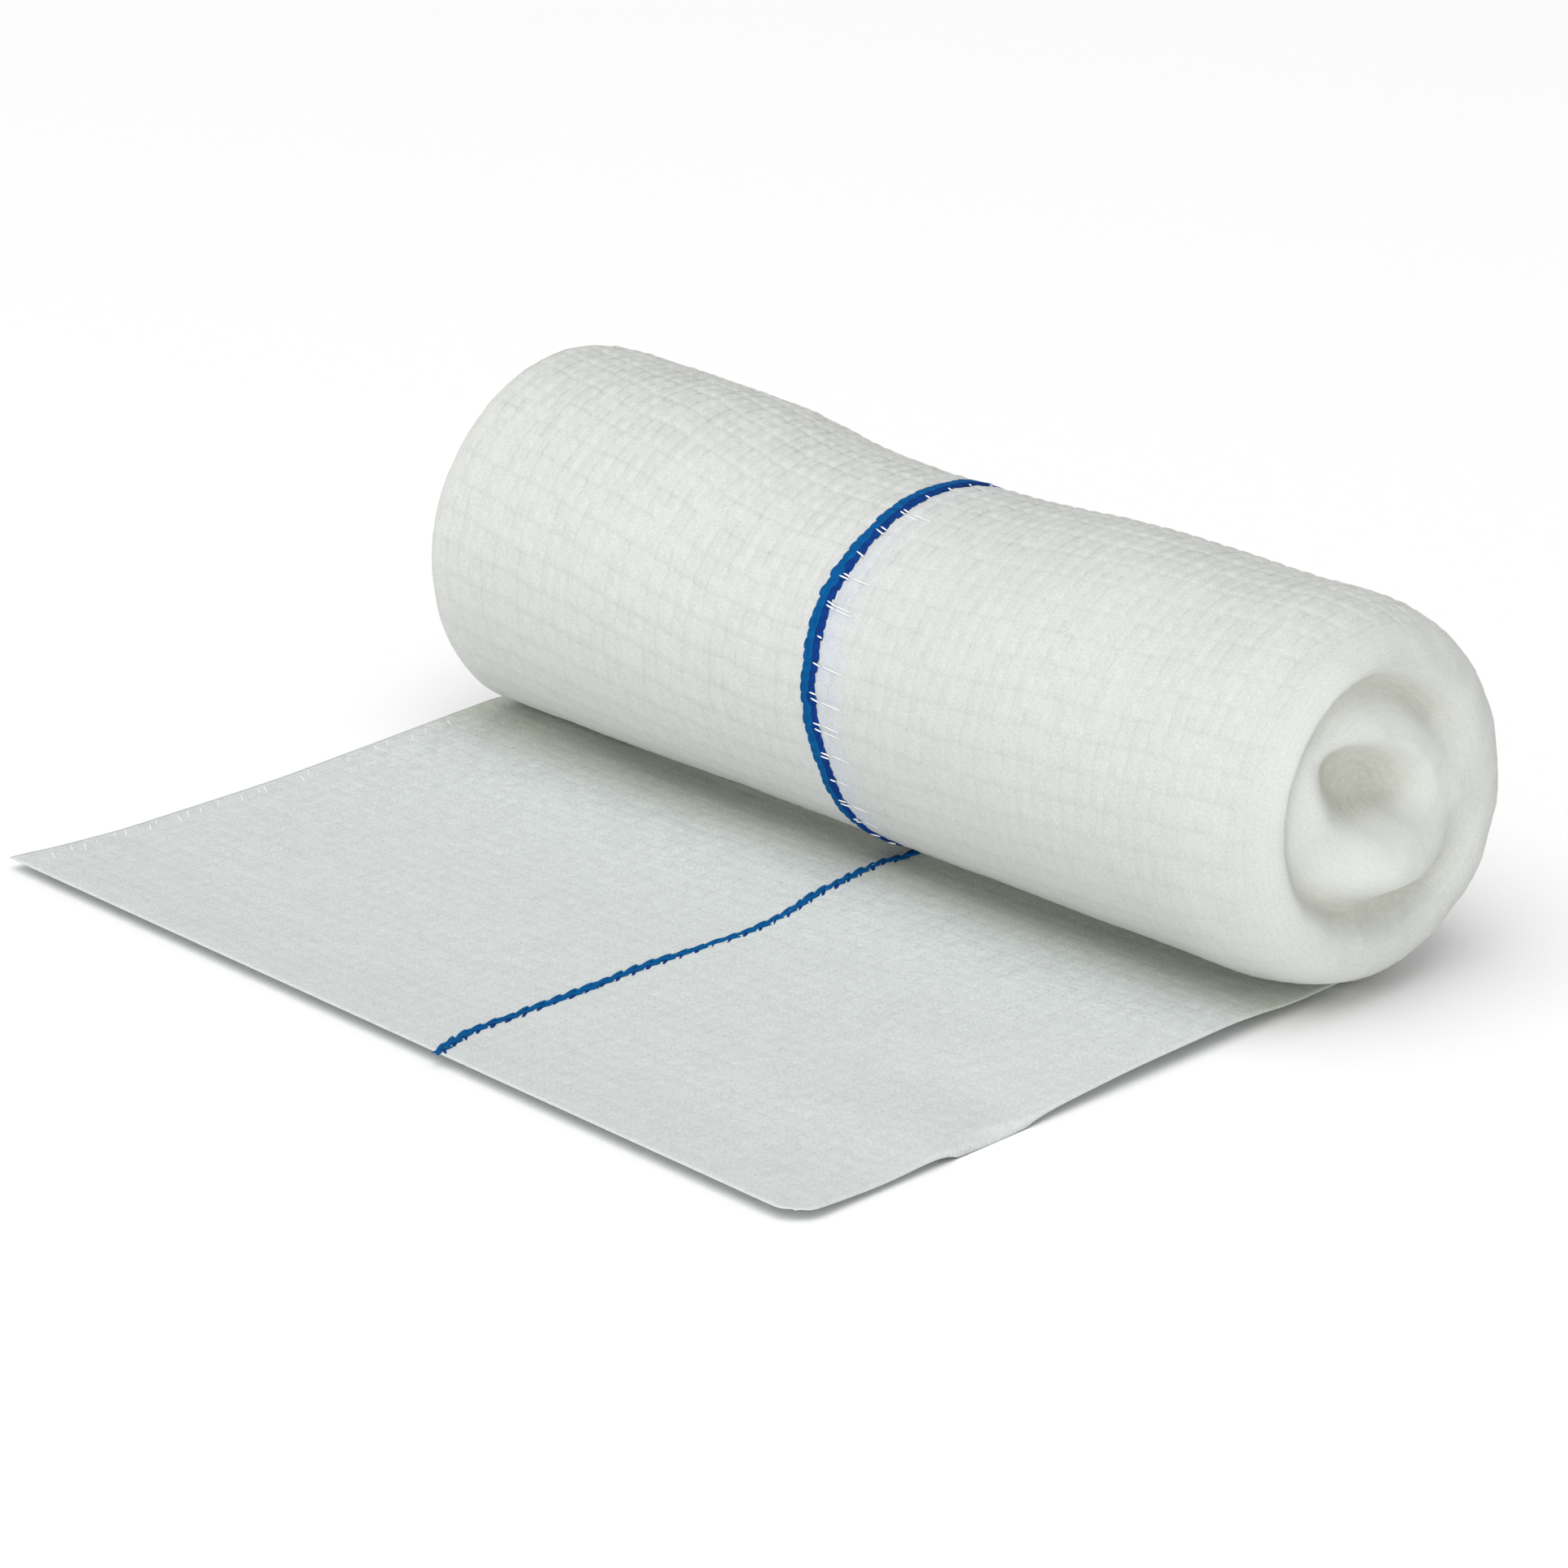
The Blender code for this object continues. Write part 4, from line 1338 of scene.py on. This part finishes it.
# ---------------------------------------------------------------------------------------------
# The stage
# ---------------------------------------------------------------------------------------------
CAMERA_ACROSS = -10.473 * MM     # the lens axis passes this far beside the frame's origin
CAMERA_RAISE = 3.608 * MM        # and this far above it, square to the view
PHOTO_WIDTH = 1932               # pixels
FOCAL_PIXELS = 6243.778
SENSOR_WIDTH = 36.0              # mm
FLOOR_SIZE = 4.0                 # m
FLOOR_DROP = 0.02 * MM           # keeps the floor just clear of what rests on it
SoftBox = namedtuple("SoftBox", "place width height")
KEY_LIGHT = SoftBox((0.15, -0.55, 1.82), 2.0, 2.0)
FILL_LIGHT = SoftBox((1.05, -1.54, 0.28), 1.2, 0.54)


def place_camera(stage):
    """Put the camera at the photograph's place and angle."""
    azimuth, elevation = stage.camera_azimuth, stage.camera_elevation
    back = Vector((
        math.sin(azimuth) * math.cos(elevation),
        -math.cos(azimuth) * math.cos(elevation),
        math.sin(elevation),
    ))
    right = Vector((math.cos(azimuth), math.sin(azimuth), 0))
    up = back.cross(right)
    lens = bpy.data.cameras.new("camera")
    lens.sensor_width = SENSOR_WIDTH
    lens.lens = FOCAL_PIXELS / PHOTO_WIDTH * SENSOR_WIDTH
    lens.clip_start = 0.01
    camera = bpy.data.objects.new("camera", lens)
    bpy.context.scene.collection.objects.link(camera)
    placing = Matrix((right, up, back)).transposed().to_4x4()
    placing.translation = right * CAMERA_ACROSS + up * CAMERA_RAISE + back * stage.camera_distance
    camera.matrix_world = placing
    bpy.context.scene.camera = camera


def add_soft_light(name, box, power):
    """A soft box that faces the roll."""
    light = bpy.data.lights.new(name, "AREA")
    light.shape = "RECTANGLE"
    light.size = box.width
    light.size_y = box.height
    light.energy = power
    lamp = bpy.data.objects.new(name, light)
    bpy.context.scene.collection.objects.link(lamp)
    lamp.location = box.place
    lamp.rotation_euler = (-Vector(box.place)).to_track_quat("-Z", "Y").to_euler()
    return lamp


def keep_light_off(lamp, piece):
    """Flag the piece off from a light, so that the shadow under the loose end stays dark."""
    flagged = bpy.data.collections.new(lamp.name + "_flag")
    flagged.objects.link(piece)
    flagged.collection_objects[0].light_linking.link_state = "EXCLUDE"
    lamp.light_linking.receiver_collection = flagged


def build_floor(stage):
    builder = bmesh.new()
    bmesh.ops.create_grid(builder, x_segments=8, y_segments=8, size=FLOOR_SIZE / 2)
    for vertex in builder.verts:
        vertex.co.z = -FLOOR_DROP
    mesh = bpy.data.meshes.new("floor")
    builder.to_mesh(mesh)
    builder.free()
    mesh.materials.append(painted_board("painted_board", tuple(stage.floor_colour)))
    floor = bpy.data.objects.new("floor", mesh)
    bpy.context.scene.collection.objects.link(floor)
    return floor


def light_room(strength):
    world = bpy.data.worlds.new("room")
    world.use_nodes = True
    background = world.node_tree.nodes["Background"]
    background.inputs["Color"].default_value = linear_colour("FFFFFF")
    background.inputs["Strength"].default_value = strength
    bpy.context.scene.world = world


# ---------------------------------------------------------------------------------------------
# Operators and panel
# ---------------------------------------------------------------------------------------------
class BANDAGE_OT_wind_cloth(bpy.types.Operator):
    """Wind the gauze into the roll"""

    bl_idname = "bandage.wind_cloth"
    bl_label = "Wind the Cloth"
    bl_options = {"REGISTER", "UNDO"}

    def execute(self, context):
        cloth = context.scene.bandage_cloth
        material = knitted_gauze("wound_gauze", tuple(cloth.wound_colour), WOUND_LOOK, wound=True)
        wind_cloth(cloth, material)
        return {"FINISHED"}


class BANDAGE_OT_lay_loose_end(bpy.types.Operator):
    """Lay the loose end of the gauze on the surface, with the loops along its far long edge"""

    bl_idname = "bandage.lay_loose_end"
    bl_label = "Lay the Loose End"
    bl_options = {"REGISTER", "UNDO"}

    def execute(self, context):
        cloth = context.scene.bandage_cloth
        material = knitted_gauze("loose_gauze", tuple(cloth.loose_colour), LOOSE_LOOK, wound=False)
        piece = lay_loose_end(cloth, material)
        selvedge_loops(cloth, bleached_yarn("selvedge_yarn"))
        return {"FINISHED"}


class BANDAGE_OT_chain_marker(bpy.types.Operator):
    """Work the blue marker thread round the roll and along the loose end"""

    bl_idname = "bandage.chain_marker"
    bl_label = "Chain the Marker"
    bl_options = {"REGISTER", "UNDO"}

    def execute(self, context):
        cloth = context.scene.bandage_cloth
        marker = context.scene.bandage_marker
        layer = cloth.layer / MM
        # The far legs get the blue painted as lit, the near legs the blue painted as shaded
        dyed = (dyed_cotton("lit_blue_cotton", tuple(marker.lit_leg_colour)),
                dyed_cotton("shaded_blue_cotton", tuple(marker.shaded_leg_colour)))
        on_roll = marker_points_on_roll(marker.roll_stitch, layer)
        on_loose_end = marker_points_on_loose_end(marker.loose_stitch, layer)
        chain_marker("marker_on_roll", on_roll, ROLL_LEGS, marker.roll_stitch,
                     ROLL_LEG_UNEVENNESS, dyed)
        chain_marker("marker_on_loose_end", on_loose_end, LOOSE_LEGS, marker.loose_stitch,
                     LOOSE_LEG_UNEVENNESS, dyed)
        wefts_round = round(math.tau * MEAN_RADIUS * MM / cloth.weft_pitch)
        crossing_ends(layer, wefts_round, bleached_yarn("weft_yarn"))
        return {"FINISHED"}


class BANDAGE_OT_set_stage(bpy.types.Operator):
    """Set the floor, the lights and the camera"""

    bl_idname = "bandage.set_stage"
    bl_label = "Set the Stage"
    bl_options = {"REGISTER", "UNDO"}

    def execute(self, context):
        stage = context.scene.bandage_stage
        floor = build_floor(stage)
        place_camera(stage)
        light_room(stage.room_light)
        add_soft_light("key_light", KEY_LIGHT, stage.key_power)
        fill = add_soft_light("fill_light", FILL_LIGHT, stage.fill_power)
        keep_light_off(fill, floor)
        # Colours show as they are, with no film curve over them
        context.scene.view_settings.view_transform = "Standard"
        return {"FINISHED"}


class BANDAGE_PT_pieces(bpy.types.Panel):
    """Lists the steps that dress the bandage roll"""

    bl_idname = "BANDAGE_PT_pieces"
    bl_label = "Gauze Bandage Roll"
    bl_space_type = "VIEW_3D"
    bl_region_type = "UI"
    bl_category = "Bandage"

    def draw(self, context):
        layout = self.layout
        for operator in OPERATORS:
            layout.operator(operator.bl_idname)
        for settings in (context.scene.bandage_cloth, context.scene.bandage_marker,
                         context.scene.bandage_stage):
            box = layout.box()
            for name in settings.__annotations__:
                box.prop(settings, name)


SETTINGS = {
    "bandage_cloth": ClothSettings,
    "bandage_marker": MarkerSettings,
    "bandage_stage": StageSettings,
}
OPERATORS = (
    BANDAGE_OT_wind_cloth,
    BANDAGE_OT_lay_loose_end,
    BANDAGE_OT_chain_marker,
    BANDAGE_OT_set_stage,
)


def register():
    for name, settings in SETTINGS.items():
        bpy.utils.register_class(settings)
        setattr(bpy.types.Scene, name, PointerProperty(type=settings))
    for operator in OPERATORS:
        bpy.utils.register_class(operator)
    bpy.utils.register_class(BANDAGE_PT_pieces)


def unregister():
    bpy.utils.unregister_class(BANDAGE_PT_pieces)
    for operator in reversed(OPERATORS):
        bpy.utils.unregister_class(operator)
    for name, settings in reversed(SETTINGS.items()):
        delattr(bpy.types.Scene, name)
        bpy.utils.unregister_class(settings)


def main():
    register()
    bpy.ops.bandage.wind_cloth()
    bpy.ops.bandage.lay_loose_end()
    bpy.ops.bandage.chain_marker()
    bpy.ops.bandage.set_stage()


if __name__ == "__main__":
    main()
